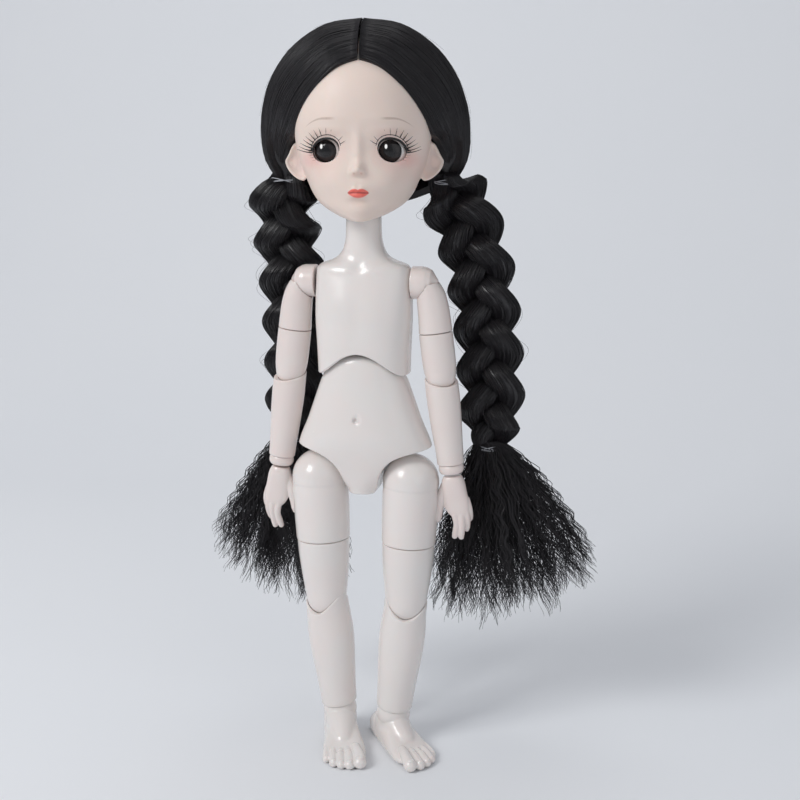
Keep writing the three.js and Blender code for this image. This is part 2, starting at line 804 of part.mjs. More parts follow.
const upperArmShares = [
  [-0.02, 0.9, 0.9, 0.9, 0.02],
  [0.25, 0.97, 0.98, 0.98, 0.02],
  [0.6, 1, 1, 1, 0],
  [1, 0.98, 0.98, 0.98, 0],
];
const lowerArmTopShares = [
  [0, 0.98, 0.98, 0.98],
  [0.4, 1.01, 0.96, 0.96],
  [0.75, 1, 0.84, 0.86],
  [1, 0.84, 0.7, 0.74],
];
const forearmShares = [
  [0, 0.98, 0.86, 0.88],
  [0.1, 1, 0.92, 0.98],
  [0.25, 1.02, 1, 1.04],
  [0.5, 0.97, 0.96, 0.98],
  [0.8, 0.88, 0.88, 0.88],
  [0.96, 0.83, 0.84, 0.84],
];

function upperArm() {
  const body = limb(shoulderToTurn - gap / 2, upperArmHalfWidth, upperArmHalfDepth, upperArmShares, 14);
  const cap = ball(shoulderRadius * 1.04, 0, 0, 0, 14, 8);
  const half = tongueThickness / 2 + gap;
  const disc = rod(shoulderDiscRadius + gap, [0, -half, 0], [0, half, 0], 12);
  const far = shoulderRadius + overrun;
  const mouth = block([-far, -half, -tongueRadius * 0.8 - gap], [0, half, far]);
  const inner = block([-far, -far, -far], [-armRoot * 0.42 + jointGap, far, far]);
  const swing = inner.rotate([0, 45, 0]);
  const bore = rod(pinRadius + gap, [0, -shoulderRadius * 0.8, 0], [0, shoulderRadius * 0.8, 0], 8);
  const hollow = snapPeg(gap, 12).translate([0, 0, -shoulderToTurn]);
  const lean = THREE.MathUtils.radToDeg(armLean);
  const bossEnd = -armRoot * 0.42 + jointGap;
  const bossRoom = rod(shoulderRadius + jointGap, [-far * 2, 0, 0], [bossEnd, 0, 0], 16).rotate([0, lean, 0]);
  const trimmed = cap.subtract(inner).subtract(swing.intersect(block([-far, -far, 0], [far, far, far])));
  return body
    .subtract(block([-far, -far, -far * 0.5], [-armRoot * 0.42 + jointGap, far, far]))
    .add(trimmed)
    .subtract(disc)
    .subtract(mouth)
    .subtract(bossRoom)
    .subtract(bore)
    .subtract(hollow);
}

function shoulderPin() {
  return rod(pinRadius, [0, -shoulderRadius * 0.8, 0], [0, shoulderRadius * 0.8, 0], 8);
}

const turnToElbow = shoulderToElbow - shoulderToTurn;
const elbowPinHalf = elbowBallRadius * 0.62;

function lowerUpperArm() {
  const body = limb(turnToElbow, upperArmHalfWidth, upperArmHalfDepth, lowerArmTopShares, 14);
  const elbow = ball(elbowBallRadius, 0, 0, -turnToElbow, 14, 8);
  const small = tongueThickness * 0.85;
  const room = slot(tongueRadius * 0.85, elbowBallRadius + overrun, -1, small).translate([0, 0, -turnToElbow]);
  const bore = pin(elbowPinHalf + gap, pinRadius + gap).translate([0, 0, -turnToElbow]);
  return body.translate([0, 0, -gap / 2]).add(elbow).add(snapPeg(0)).subtract(room).subtract(bore);
}

function forearm() {
  const body = limb(elbowToWrist, forearmHalfWidth, forearmHalfDepth, forearmShares, 14);
  const elbow = ball(elbowBallRadius + jointGap, 0, 0, 0, 14, 8);
  const small = tongueThickness * 0.85;
  const bore = pin(elbowPinHalf + gap, pinRadius + gap);
  const blade = tongue(tongueRadius * 0.85, elbowBallRadius + overrun, small).subtract(bore);
  const wristRoom = snapPeg(gap, 12).translate([0, 0, -elbowToWrist * 0.96]);
  return body.subtract(elbow).add(blade).subtract(wristRoom);
}

// The wrist joint: a peg up into the forearm, the round band that shows, and a tongue down in the hand
const wristBandTop = elbowToWrist * 0.04 - gap;
const handDrop = wristBandHeight - wristBandTop + gap + wristBallRadius * 0.4;
const wristPivot = handDrop + wristBallRadius * 0.6;

function wristKnuckle() {
  const top = wristBandTop;
  const ring = rod(wristRadius, [0, 0, top - wristBandHeight], [0, 0, top], 14);
  const peg = snapPeg(0).translate([0, 0, top + gap]);
  const stem = block(
    [-pinRadius, -tongueThickness * 0.4, -wristPivot],
    [pinRadius, tongueThickness * 0.4, 0],
  );
  const disc = rod(
    tongueRadius * 0.6,
    [0, -tongueThickness * 0.4, -wristPivot],
    [0, tongueThickness * 0.4, -wristPivot],
    10,
  );
  return ring.add(peg).add(stem).add(disc);
}

const palmShares = [
  [0, 0.78, 1.1, 1.1],
  [0.2, 0.86, 1.1, 1.05],
  [0.45, 1, 1, 0.95],
  [0.62, 0.98, 0.85, 0.85],
];
const fingerShares = [
  [-0.72, 0.86, 0.1],
  [-0.25, 1, 0.03],
  [0.25, 0.97, -0.03],
  [0.7, 0.8, -0.1],
];

function finger(length, radius, rootX, rootY, rootZ, spread, curl) {
  const joints = [0, 0.5, 1];
  const widths = [1, 0.95, 0.62];
  const rings = joints.map((along, i) => [
    -along * length,
    radius * widths[i],
    radius * widths[i],
    radius * widths[i],
    spread * along * length,
    -curl * along * along * length,
  ]);
  return loft([[radius, radius * 0.8, radius * 0.8, radius * 0.8], ...rings], 5).translate([rootX, rootY, rootZ]);
}

function hand(sign) {
  const palm = limb(handLength * 0.85, handHalfWidth, handHalfDepth, palmShares, 10);
  const wrist = ball(wristBallRadius, 0, 0, 0, 10, 6);
  let body = palm.add(wrist);
  const knuckles = -handLength * 0.5;
  fingerShares.forEach(([across, size, spread]) => {
    const root = [across * handHalfWidth * -sign, 0, knuckles];
    body = body.add(finger(fingerLength * size, fingerRadius * size, ...root, -spread * sign, 0.12));
  });
  const thumb = finger(thumbLength, fingerRadius * 1.15, 0, 0, 0, -0.1 * sign, 0);
  const thumbRoot = [-handHalfWidth * 0.62 * sign, -handHalfDepth * 0.33, -handLength * 0.17];
  body = body.add(thumb.rotate([12, 14 * sign, 0]).translate(thumbRoot));
  const half = tongueThickness * 0.4 + gap;
  const disc = rod(tongueRadius * 0.6 + gap, [0, -half, 0], [0, half, 0], 10);
  const mouth = block([-wristBallRadius * 0.75, -half, 0], [wristBallRadius * 0.75, half, wristBallRadius]);
  return body.subtract(disc).subtract(mouth);
}

function buildArm(side, sign) {
  const arm = new THREE.Group();
  arm.position.set(sign * shoulderSpread, 0, shoulderHeight);
  arm.name = `shoulder_${side}`;
  const own = (body) => (sign > 0 ? body : body.mirror([1, 0, 0]));
  arm.add(piece(`shoulder_knuckle_${side}`, own(shoulderKnuckle()), armSkin));
  arm.add(piece(`shoulder_pin_${side}`, shoulderPin(), innerPlastic));
  const hang = new THREE.Group();
  hang.rotation.y = -sign * armLean;
  arm.add(hang);
  hang.add(piece(`upper_arm_${side}`, own(upperArm()), armSkin));
  const lower = new THREE.Group();
  lower.position.z = -shoulderToTurn;
  lower.name = `arm_turn_${side}`;
  lower.rotation.z = sign * THREE.MathUtils.degToRad(elbowTurn);
  hang.add(lower);
  lower.add(piece(`elbow_arm_${side}`, lowerUpperArm(), armSkin));
  const elbow = new THREE.Group();
  elbow.position.z = -turnToElbow;
  elbow.name = `elbow_${side}`;
  lower.add(elbow);
  elbow.add(piece(`elbow_pin_${side}`, pin(elbowPinHalf), innerPlastic));
  elbow.add(piece(`forearm_${side}`, forearm(), armSkin));
  const wrist = new THREE.Group();
  wrist.position.z = -elbowToWrist;
  wrist.name = `wrist_${side}`;
  wrist.rotation.z = -lower.rotation.z;
  elbow.add(wrist);
  wrist.add(piece(`wrist_knuckle_${side}`, wristKnuckle(), armSkin));
  const palm = new THREE.Group();
  palm.position.z = -handDrop - wristBallRadius * 0.6;
  palm.name = `palm_${side}`;
  wrist.add(palm);
  palm.add(piece(`hand_${side}`, hand(sign), armSkin));
  return arm;
}

// Head: a face shell with ears, and the shell behind it that carries the rooted hair
const skullShares = [
  [0, 0.17, 0.12, 0.12, 0.68],
  [0.035, 0.4, 0.42, 0.62, 0.45],
  [0.085, 0.6, 0.7, 0.64, 0.2],
  [0.14, 0.73, 0.88, 0.6, 0],
  [0.21, 0.82, 0.92, 0.7, 0],
  [0.3, 0.91, 0.9, 0.82, 0],
  [0.385, 0.965, 0.89, 0.92, 0],
  [0.47, 1, 0.93, 0.98, 0],
  [0.56, 1, 0.97, 1, 0],
  [0.68, 0.93, 0.95, 0.97, 0],
  [0.8, 0.78, 0.83, 0.86, 0],
  [0.9, 0.57, 0.62, 0.66, 0],
  [0.965, 0.33, 0.36, 0.38, 0],
  [1, 0.08, 0.09, 0.1, 0],
];

function skullSkin(inset, shares = skullShares, sides = 20) {
  const height = skullTop - skullBottom;
  const rings = shares.map(([up, wide, front, back, ahead]) => {
    const lift = up < 0.5 ? inset : -inset;
    return [
      skullBottom + up * height + lift,
      wide * skullHalfWidth - inset,
      front * skullFrontDepth - inset,
      back * skullBackDepth - inset,
      0,
      ahead * skullFrontDepth,
      2.15,
    ];
  });
  return loft(rings, sides);
}

function skullHollow() {
  const kept = [0.085, 0.21, 0.385, 0.56, 0.8, 0.9];
  return skullSkin(
    skullWall,
    skullShares.filter((ring) => kept.includes(ring[0])),
    12,
  );
}

function eyeOpening(sign) {
  const depth = skullFrontDepth;
  const geometry = new THREE.CylinderGeometry(1, 1, depth, 14);
  geometry.scale(eyeHalfWidth, 1, eyeHalfHeight);
  return solid(moved(geometry, sign * eyeSpread, eyeCentre - depth / 2, eyeHeight));
}

function setEar(body, sign) {
  return body.rotate([0, sign * 14, 0]).translate([sign * skullHalfWidth * 1.03, 0, eyeHeight - eyeHalfHeight]);
}

// Nose tip, nose bridge and the two lips: [wide, deep, high, ahead, measured from, up, facets round]
const featureShares = [
  [0.42, 0.7, 0.46, 0.91, "nose", 0, 8],
  [0.36, 0.34, 1.3, 0.885, "nose", 1, 6],
  [lipHalfWidth / noseLength, 0.3, 0.24, 0.87, "lips", 0.16, 8],
  [(lipHalfWidth * 0.75) / noseLength, 0.34, 0.24, 0.865, "lips", -0.18, 8],
];

function headShell() {
  let body = skullSkin(0);
  featureShares.forEach(([wide, deep, high, ahead, from, up, around]) => {
    const size = [wide * noseLength, deep * noseLength, high * noseLength];
    const base = from === "nose" ? noseHeight : lipHeight;
    const spot = [0, -skullFrontDepth * ahead, base + up * noseLength];
    body = body.add(ellipsoid(...size, ...spot, around, 6));
  });
  [-1, 1].forEach((sign) => {
    const bowl = ellipsoid(earRadius * 0.34, earRadius * 0.2, earRadius * 0.6, 0, 0, 0, 8, 5);
    body = body.add(setEar(ellipsoid(earRadius * 0.68, earRadius * 0.28, earRadius, 0, 0, 0, 10, 6), sign));
    body = body.subtract(setEar(bowl.translate([earRadius * 0.14 * sign, -earRadius * 0.3, 0]), sign));
  });
  body = body.subtract(skullHollow());
  const plate = rod(
    neckHoleRadius * 2,
    [0, 0, neckBallHeight + neckBallRadius + gap],
    [0, 0, neckBallHeight + neckBallRadius + gap + skullWall],
    16,
  ).intersect(skullSkin(skullWall * 0.5));
  body = body.add(plate);
  body = body.subtract(
    rod(neckPostRadius + gap, [0, 0, neckBallHeight], [0, 0, neckBallHeight + neckPostHeight], 12),
  );
  body = body.subtract(
    rod(neckHoleRadius, [0, 0, skullBottom - skullWall], [0, 0, neckBallHeight + neckBallRadius + gap], 20),
  );
  [-1, 1].forEach((sign) => {
    const socket = ball(eyeRadius + gap, sign * eyeSpread, eyeCentre, eyeHeight, 12, 8);
    body = body.subtract(eyeOpening(sign)).subtract(socket);
  });
  return body;
}

function faceShell(head) {
  const far = skullHalfWidth * 3;
  return head.intersect(block([-far, -far, 0], [far, headSplit - gap / 2, hairTop + overrun]));
}

function backShell(head) {
  const far = skullHalfWidth * 3;
  return head.intersect(block([-far, headSplit + gap / 2, 0], [far, far, hairTop + overrun]));
}

// The neck joint: a ball that rocks in the cup of the neck, with a post that the head turns on
function neckBall() {
  const post = rod(neckPostRadius, [0, 0, neckBallHeight], [0, 0, neckBallHeight + neckPostHeight], 12);
  const cap = rod(
    neckPostRadius + postHeadLip,
    [0, 0, neckBallHeight + neckPostHeight - postHeadLength],
    [0, 0, neckBallHeight + neckPostHeight],
    12,
  );
  return ball(neckBallRadius, 0, 0, neckBallHeight, 14, 8).add(post).add(cap);
}

// A strip of upper lashes, curved round the top of the eye opening
const lashCount = 5;

function lashes(sign) {
  const outer = eyeHalfWidth - gap;
  const strip = new THREE.Shape();
  const spread = Math.PI * 0.94;
  const start = (Math.PI - spread) / 2;
  strip.absarc(0, 0, outer, start, start + spread, false);
  strip.absarc(0, 0, outer - lidThickness, start + spread, start, true);
  const geometry = new THREE.ExtrudeGeometry(strip, { depth: step, bevelEnabled: false, curveSegments: 7 });
  geometry.rotateX(Math.PI / 2).scale(1, 1, eyeHalfHeight / eyeHalfWidth);
  let body = solid(moved(geometry, 0, step - lashLength, 0));
  for (let i = 0; i < lashCount; i++) {
    const angle = start + (spread * (i + 0.5)) / lashCount;
    const c = Math.cos(angle);
    const s = Math.sin(angle);
    const middle = outer - lidThickness / 2;
    const root = [c * middle, -lashLength * 0.88, s * middle * 0.92];
    const tip = [c * outer * 1.5, -lashLength * 1.68, s * outer * 1.5];
    body = body.add(rod(lashThickness, root, tip, 3, lashThickness / 3));
  }
  return body.translate([sign * eyeSpread, -eyeFront, eyeHeight]);
}

// Hair: two combed halves that meet at the parting and gather at the ties
const hairShares = [
  [0, 0.74, 0.2, 0.74],
  [0.1, 0.9, 0.36, 0.88],
  [0.28, 1, 0.62, 0.97],
  [0.45, 0.995, 0.84, 1],
  [0.6, 0.94, 1, 0.98],
  [0.76, 0.8, 1.02, 0.9],
  [0.88, 0.58, 0.84, 0.7],
  [0.96, 0.32, 0.52, 0.42],
  [1, 0.08, 0.14, 0.12],
];
const hairlineShares = [
  [0, 1],
  [0.31, 0.96],
  [0.57, 0.87],
  [0.78, 0.75],
  [0.94, 0.6],
  [1, 0.48],
  [1.05, 0.4],
  [1.21, 0.395],
  [1.36, 0.3],
  [1.37, 0.16],
  [1.3, 0.04],
  [1.15, -0.1],
];

function faceWindow() {
  const rise = hairlineTop - (skullBottom + skullWall * 4);
  const half = hairlineShares.map(([wide, up]) => [
    wide * hairlineHalfWidth,
    skullBottom + skullWall * 4 + up * rise,
  ]);
  const mirrored = half
    .slice(1)
    .reverse()
    .map(([x, z]) => [-x, z]);
  return prism([...half, ...mirrored], -hairBackDepth * 2, headSplit + gap);
}

function hairCap() {
  const height = hairTop - hairBottom;
  const rings = hairShares.map(([up, wide, front, back]) => [
    hairBottom + up * height,
    wide * hairHalfWidth,
    front * hairFrontDepth,
    back * hairBackDepth,
    0,
    0,
    2.1,
  ]);
  let body = loft(rings, 18);
  [-1, 1].forEach((sign) => {
    const lobeSize = [tieRadius * 1.37, tieRadius * 1.29, tieRadius * 1.45];
    const lobe = ellipsoid(...lobeSize, sign * (tieSpread + step), tieBack - step, tieHeight + lobeSize[1], 10, 6);
    const neck = rod(
      tieRadius - tieThickness / 2 - gap,
      [sign * tieSpread, tieBack, tieHeight - tieThickness],
      [sign * tieSpread, tieBack, tieHeight + tieRadius],
      12,
    );
    const ring = rod(
      tieRadius + tieThickness,
      [sign * tieSpread, tieBack, hairBottom - tieThickness * 3],
      [sign * tieSpread, tieBack, tieHeight + tieThickness / 2 + gap],
      12,
    );
    body = body.add(lobe).subtract(ring).add(neck);
  });
  [-1, 1].forEach((sign) => {
    const room = ellipsoid(earRadius * 0.68 + gap, earRadius * 0.28 + gap, earRadius + gap, 0, 0, 0, 10, 6);
    body = body.subtract(setEar(room, sign));
  });
  return body.subtract(skullSkin(-gap)).subtract(faceWindow());
}

function hairHalf(body, sign) {
  const far = hairHalfWidth * 2;
  const low = sign > 0 ? partHalfGap : -far;
  const high = sign > 0 ? far : -partHalfGap;
  return body.intersect(block([low, -far, 0], [high, far, hairTop + overrun]));
}

function tie(radius) {
  return solid(new THREE.TorusGeometry(radius, tieThickness / 2, 4, 12));
}

// Where each braid hangs, from the ear tie to the lower tie: [across, back, up] as shares of tieSpread, braidBack
// and braidLength
const braidRoutes = {
  right: [
    [-1.048, 0.394, 1],
    [-1.076, 0.76, 0.885],
    [-1.06, 0.98, 0.76],
    [-1.015, 1.02, 0.587],
    [-1, 1, 0.346],
    [-1.03, 0.98, 0.154],
    [-1.09, 0.955, 0],
  ],
  left: [
    [0.927, 0.923, 1],
    [1.076, 0.96, 0.885],
    [1.197, 1, 0.76],
    [1.318, 1.02, 0.587],
    [1.409, 1, 0.346],
    [1.455, 0.98, 0.154],
    [1.485, 0.955, 0],
  ],
};
const braidStart = 0.06;
const braidEnd = 0.95;
const braidTop = tieHeight - hairHem * 0.4;

function braidRoute(side) {
  return braidRoutes[side].map(([across, back, up]) => [
    across * tieSpread,
    back * braidBack,
    braidTop - braidLength * (1 - up),
  ]);
}

const tasselShares = [
  [0, 0.16, 0.5],
  [0.1, 0.27, 0.62],
  [0.25, 0.47, 0.85],
  [0.45, 0.73, 1],
  [0.66, 0.98, 1],
  [0.8, 0.92, 0.8],
  [0.9, 0.66, 0.6],
  [1, 0.34, 0.36],
];

function braid(side) {
  const route = new THREE.CatmullRomCurve3(braidRoute(side).map((point) => new THREE.Vector3(...point)));
  const ring = (share, size, aside) => {
    const at = route.getPoint(share);
    return [at.z, size, size * 0.7, size * 0.7, at.x + aside, -at.y, 2.2];
  };
  const start = route.getPoint(0);
  const end = route.getPoint(1);
  const thin = lowerTieRadius - tieThickness / 2 - gap;
  const rings = [
    [tieHeight - tieThickness - gap, thin, thin, thin, start.x, -start.y],
    ring(0.03, braidRadius * 0.5, 0),
  ];
  const span = braidEnd - braidStart;
  for (let i = 0; i < braidLumps; i++) {
    const aside = (i % 2 ? 1 : -1) * braidRadius * 0.14;
    const swell = Math.min(1, 0.66 + 0.2 * i, 0.66 + 0.2 * (braidLumps - 1 - i));
    rings.push(ring(braidStart + (span * (i + 0.28)) / braidLumps, braidRadius * swell, aside));
    rings.push(ring(braidStart + (span * (i + 0.62)) / braidLumps, braidRadius * swell, aside));
    rings.push(ring(braidStart + (span * (i + 1)) / braidLumps, braidRadius * swell * 0.83, 0));
  }
  rings.push([end.z + tieThickness, thin, thin, thin, end.x, -end.y]);
  rings.push([end.z - tieThickness * 2, thin, thin, thin, end.x, -end.y]);
  return loft(rings, 8);
}

function tassel(side, sign) {
  const end = braidRoute(side).pop();
  const wide = side === "left" ? tasselHalfWidth * 1.12 : tasselHalfWidth * 0.95;
  const top = end[2] - tieThickness * 2 - gap;
  const rings = tasselShares.map(([down, across, deep]) => [
    top - down * tasselLength,
    across * wide,
    deep * tasselHalfDepth,
    deep * tasselHalfDepth,
    end[0] + sign * down * wide * 0.3,
    -end[1],
  ]);
  return loft(rings, 14);
}

function buildHead() {
  const head = new THREE.Group();
  head.rotation.z = THREE.MathUtils.degToRad(headTurn);
  const shell = headShell();
  head.add(piece("face_shell", faceShell(shell), faceSkin));
  head.add(piece("head_back", backShell(shell), faceSkin));
  head.add(piece("neck_ball", neckBall(), innerPlastic));
  const cap = hairCap();
  [
    ["right", -1],
    ["left", 1],
  ].forEach(([side, sign]) => {
    head.add(piece(`eye_${side}`, ball(eyeRadius * 0.99, sign * eyeSpread, eyeCentre, eyeHeight, 14, 8), eyeGlaze));
    head.add(piece(`eyelashes_${side}`, lashes(sign), lashFibre));
    head.add(piece(`hair_${side}`, hairHalf(cap, sign), hair));
    const ring = piece(`ear_tie_${side}`, tie(tieRadius), band);
    ring.position.set(sign * tieSpread, tieBack, tieHeight);
    head.add(ring);
  });
  return head;
}

const doll = new THREE.Group();
const torso = chest();
const belly = pelvis();
doll.add(piece("pelvis_front", frontHalf(belly), skin));
doll.add(piece("pelvis_back", backHalf(belly), skin));
doll.add(piece("waist_ball", waistBall(), innerPlastic));
doll.add(piece("chest_front", frontHalf(torso), skin));
doll.add(piece("chest_back", backHalf(torso), skin));
[
  ["right", -1],
  ["left", 1],
].forEach(([side, sign]) => {
  doll.add(buildLeg(side, sign));
  doll.add(buildArm(side, sign));
  doll.add(piece(`braid_${side}`, braid(side), hair));
  const end = braidRoute(side).pop();
  const lower = piece(`braid_tie_${side}`, tie(lowerTieRadius), band);
  lower.position.set(...end);
  doll.add(lower);
  doll.add(piece(`tassel_${side}`, tassel(side, sign), hair));
});
doll.add(buildHead());

// The origin is the middle of the underside of the box round the doll
const stand = new THREE.Group();
stand.add(doll);
const box = new THREE.Box3().setFromObject(doll);
const middle = box.getCenter(new THREE.Vector3());
doll.position.set(-middle.x, -middle.y, -box.min.z);

export default stand;
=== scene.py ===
import json
import math
import random

import bmesh
import bpy
import numpy as np
from mathutils import Matrix, Vector


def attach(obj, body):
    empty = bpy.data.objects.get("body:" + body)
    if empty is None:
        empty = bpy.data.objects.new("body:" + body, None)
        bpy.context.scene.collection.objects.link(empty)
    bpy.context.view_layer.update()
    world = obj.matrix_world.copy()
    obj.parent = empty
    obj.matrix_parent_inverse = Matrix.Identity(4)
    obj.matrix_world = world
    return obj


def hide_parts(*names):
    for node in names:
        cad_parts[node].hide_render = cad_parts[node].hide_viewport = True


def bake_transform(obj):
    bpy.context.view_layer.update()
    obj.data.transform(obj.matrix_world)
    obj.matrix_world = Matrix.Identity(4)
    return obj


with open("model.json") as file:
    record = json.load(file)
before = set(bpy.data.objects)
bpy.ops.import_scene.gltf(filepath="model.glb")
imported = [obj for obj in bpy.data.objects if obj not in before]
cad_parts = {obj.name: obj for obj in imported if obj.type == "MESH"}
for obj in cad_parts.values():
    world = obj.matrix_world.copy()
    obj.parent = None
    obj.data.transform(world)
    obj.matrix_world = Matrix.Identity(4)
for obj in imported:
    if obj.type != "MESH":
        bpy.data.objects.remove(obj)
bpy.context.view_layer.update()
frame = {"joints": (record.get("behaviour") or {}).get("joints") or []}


# Legs: each is a thigh ball and upper thigh, a lower thigh with the knee ball, a shin with a cup over the knee,
# and a bare foot. They are glossy off-white moulded plastic, and fine dark seams show where the pieces turn.
# Every form is worked out in millimetres from the sole's height, about the line through the neck.
neck = next(joint for joint in frame["joints"] if joint["name"] == "head_turn")["pos_m"]
STAND = Matrix.Translation((neck[0], neck[1], 0)) @ Matrix.Scale(0.001, 4)
random.seed(7)


class Wire:
    """A shader socket that plain sums can be done on."""

    def __init__(self, finish, socket):
        self.finish = finish
        self.socket = socket

    def sum(self, kind, other, swapped=False):
        values = (other, self) if swapped else (self, other)
        return self.finish.node("Math", {"operation": kind}, {0: values[0], 1: values[1]})

    def __add__(self, other):
        return self.sum("ADD", other)

    def __radd__(self, other):
        return self.sum("ADD", other, True)

    def __sub__(self, other):
        return self.sum("SUBTRACT", other)

    def __rsub__(self, other):
        return self.sum("SUBTRACT", other, True)

    def __mul__(self, other):
        return self.sum("MULTIPLY", other)

    def __rmul__(self, other):
        return self.sum("MULTIPLY", other, True)

    def __truediv__(self, other):
        return self.sum("DIVIDE", other)

    def __pow__(self, other):
        return self.sum("POWER", other)

    def __abs__(self):
        return self.finish.node("Math", {"operation": "ABSOLUTE"}, {0: self})

    def at_least(self, other):
        return self.sum("MAXIMUM", other)

    def at_most(self, other):
        return self.sum("MINIMUM", other)


class Finish:
    """One material, with the shader's even values set on its own sockets."""

    def __init__(self, name, **even):
        self.material = bpy.data.materials.new(name)
        self.material.use_nodes = True
        self.tree = self.material.node_tree
        self.shader = self.tree.nodes["Principled BSDF"]
        for key, value in even.items():
            self.shader.inputs[key.replace("_", " ")].default_value = value

    def node(self, kind, settings, sockets, out=0):
        made = self.tree.nodes.new("ShaderNode" + kind)
        for key, value in settings.items():
            if key == "stops":
                ramp = made.color_ramp
                while len(ramp.elements) < len(value):
                    ramp.elements.new(0.5)
                for element, (place, colour) in zip(ramp.elements, value):
                    element.position = place
                    element.color = colour if len(colour) == 4 else (*colour, 1)
            else:
                setattr(made, key, value)
        for key, value in sockets.items():
            self.feed(made.inputs[key], value)
        return Wire(self, made.outputs[out])

    def feed(self, socket, value):
        if isinstance(value, Wire):
            self.tree.links.new(value.socket, socket)
        else:
            socket.default_value = value

    def paint(self, **sockets):
        for key, value in sockets.items():
            self.feed(self.shader.inputs[key.replace("_", " ")], value)

    def place(self):
        return self.node("TexCoord", {}, {}, "Object")

    def blend(self, share, first, second):
        return self.node("Mix", {"data_type": "RGBA"}, {"Factor": share, 6: first, 7: second}, 2)

    def noise(self, scale, detail=3, where=None):
        return self.node("TexNoise", {}, {"Vector": where or self.place(), "Scale": scale, "Detail": detail})

    def ramp(self, value, low, high, first=0.0, last=1.0, **settings):
        return self.node("MapRange", settings, {0: value, 1: low, 2: high, 3: first, 4: last})

    def bump(self, height, strength, distance):
        return self.node("Bump", {}, {"Height": height, "Strength": strength, "Distance": distance})


def shell_plastic(name, pale, warm):
    """Moulded plastic: nearly even, a little warmer in patches, with a faint waviness under the gloss."""
    finish = Finish(name, Roughness=0.24, Coat_Weight=0.35, Coat_Roughness=0.08, Subsurface_Weight=0.12)
    finish.shader.inputs["Subsurface Radius"].default_value = (0.004, 0.002, 0.0015)
    finish.shader.inputs["Subsurface Scale"].default_value = 0.5
    patches = finish.noise(55, 2)
    share = finish.node("ValToRGB", {"stops": [(0.35, (0, 0, 0)), (0.7, (1, 1, 1))]}, {"Fac": patches})
    grain = finish.noise(900, 4)
    wave = finish.noise(120, 2)
    finish.paint(
        Base_Color=finish.blend(share, pale, warm),
        Roughness=0.2 + grain * 0.1,
        Normal=finish.bump(wave + grain * 0.12, 0.25, 0.0003),
    )
    return finish.material


body_plastic = shell_plastic("body_plastic", (0.80, 0.762, 0.735, 1), (0.815, 0.75, 0.72, 1))


def between(rows, steps):
    """Smooth rows through the given rows, with a number of steps from each to the next."""
    rows = np.array(rows, float)
    ends = np.vstack([2 * rows[0] - rows[1], rows, 2 * rows[-1] - rows[-2]])
    out = []
    for a, b, c, d in zip(ends[:-3], ends[1:-2], ends[2:-1], ends[3:]):
        for t in np.arange(steps) / steps:
            out.append(
                0.5 * (2 * b + (c - a) * t + (2 * a - 5 * b + 4 * c - d) * t**2 + (3 * b - a - 3 * c + d) * t**3)
            )
    out.append(rows[-1])
    return np.array(out)


class Girth:
    """Half widths and depths of a form against height, from rows of height, width, front, back, aside, ahead."""

    def __init__(self, rows, fullness=2.0):
        table = between(sorted(list(row) + [0] * (6 - len(row)) for row in rows), 12)
        order = np.argsort(table[:, 0])
        self.table = table[order]
        self.fullness = fullness

    def at(self, z):
        return [np.interp(z, self.table[:, 0], self.table[:, k]) for k in range(1, 6)]

    def point(self, angle, z, inset=0.0, fullness=None):
        width, front, back, aside, ahead = self.at(z)
        power = 2 / (fullness or self.fullness)
        c, s = math.cos(angle), math.sin(angle)
        x = math.copysign(abs(c) ** power, c) * (width - inset) + aside
        y = math.copysign(abs(s) ** power, s) * ((front if s < 0 else back) - inset) - ahead
        return [x, y, z]

    def side(self, angle, heights):
        return [self.point(angle, z) for z in heights]

    def rim(self, angle, *rows):
        """Points of an eased edge, each row a height and how far it is drawn in."""
        return [self.point(angle, z, inset) for z, inset in rows]


def gores(profile, sides=64):
    """A closed skin from one profile per angle, each a list of points from the bottom pole to the top pole."""
    columns = [profile(2 * math.pi * i / sides) for i in range(sides)]
    count = len(columns[0])
    points = [columns[0][0]] + [p for column in columns for p in column[1:-1]] + [columns[0][-1]]
    inner = count - 2
    faces = []
    for i in range(sides):
        here = 1 + i * inner
        there = 1 + ((i + 1) % sides) * inner
        faces.append((0, there, here))
        for k in range(inner - 1):
            faces.append((here + k, there + k, there + k + 1, here + k + 1))
        faces.append((here + inner - 1, there + inner - 1, len(points) - 1))
    return points, faces


def face_outward(mesh):
    work = bmesh.new()
    work.from_mesh(mesh)
    bmesh.ops.recalc_face_normals(work, faces=work.faces)
    work.to_mesh(mesh)
    work.free()


def fit(name, mesh, matrix, material, body, nodes, slot, sharp=35):
    """Set a mesh in place in metres, on its body and in place of the drawn nodes that it stands for."""
    mesh.transform(STAND @ matrix)
    if sharp:
        face_outward(mesh)
    mesh.shade_smooth()
    if sharp:
        mesh.set_sharp_from_angle(angle=math.radians(sharp))
    mesh.materials.clear()
    mesh.materials.append(material)
    made = bpy.data.objects.new(name, mesh)
    bpy.context.collection.objects.link(made)
    if body:
        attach(made, body)
    if nodes:
        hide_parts(*nodes)
    return made


def form(name, points, faces, *place):
    mesh = bpy.data.meshes.new(name)
    mesh.from_pydata([tuple(p) for p in points], [], faces)
    return fit(name, mesh, *place)


def ball_arc(radius, start, end, steps):
    """[out, up] points of an arc about the ball's middle, in degrees from straight down."""
    turns = np.radians(np.linspace(start, end, steps))
    return [(radius * math.sin(a), -radius * math.cos(a)) for a in turns]


def swept(angle, arc, middle=0.0, way=1):
    """An arc's points at one angle round the upright axis, with its ball's middle at the given height."""
    c, s = math.cos(angle), math.sin(angle)
    return [[out * c, out * s, middle + way * up] for out, up in arc]


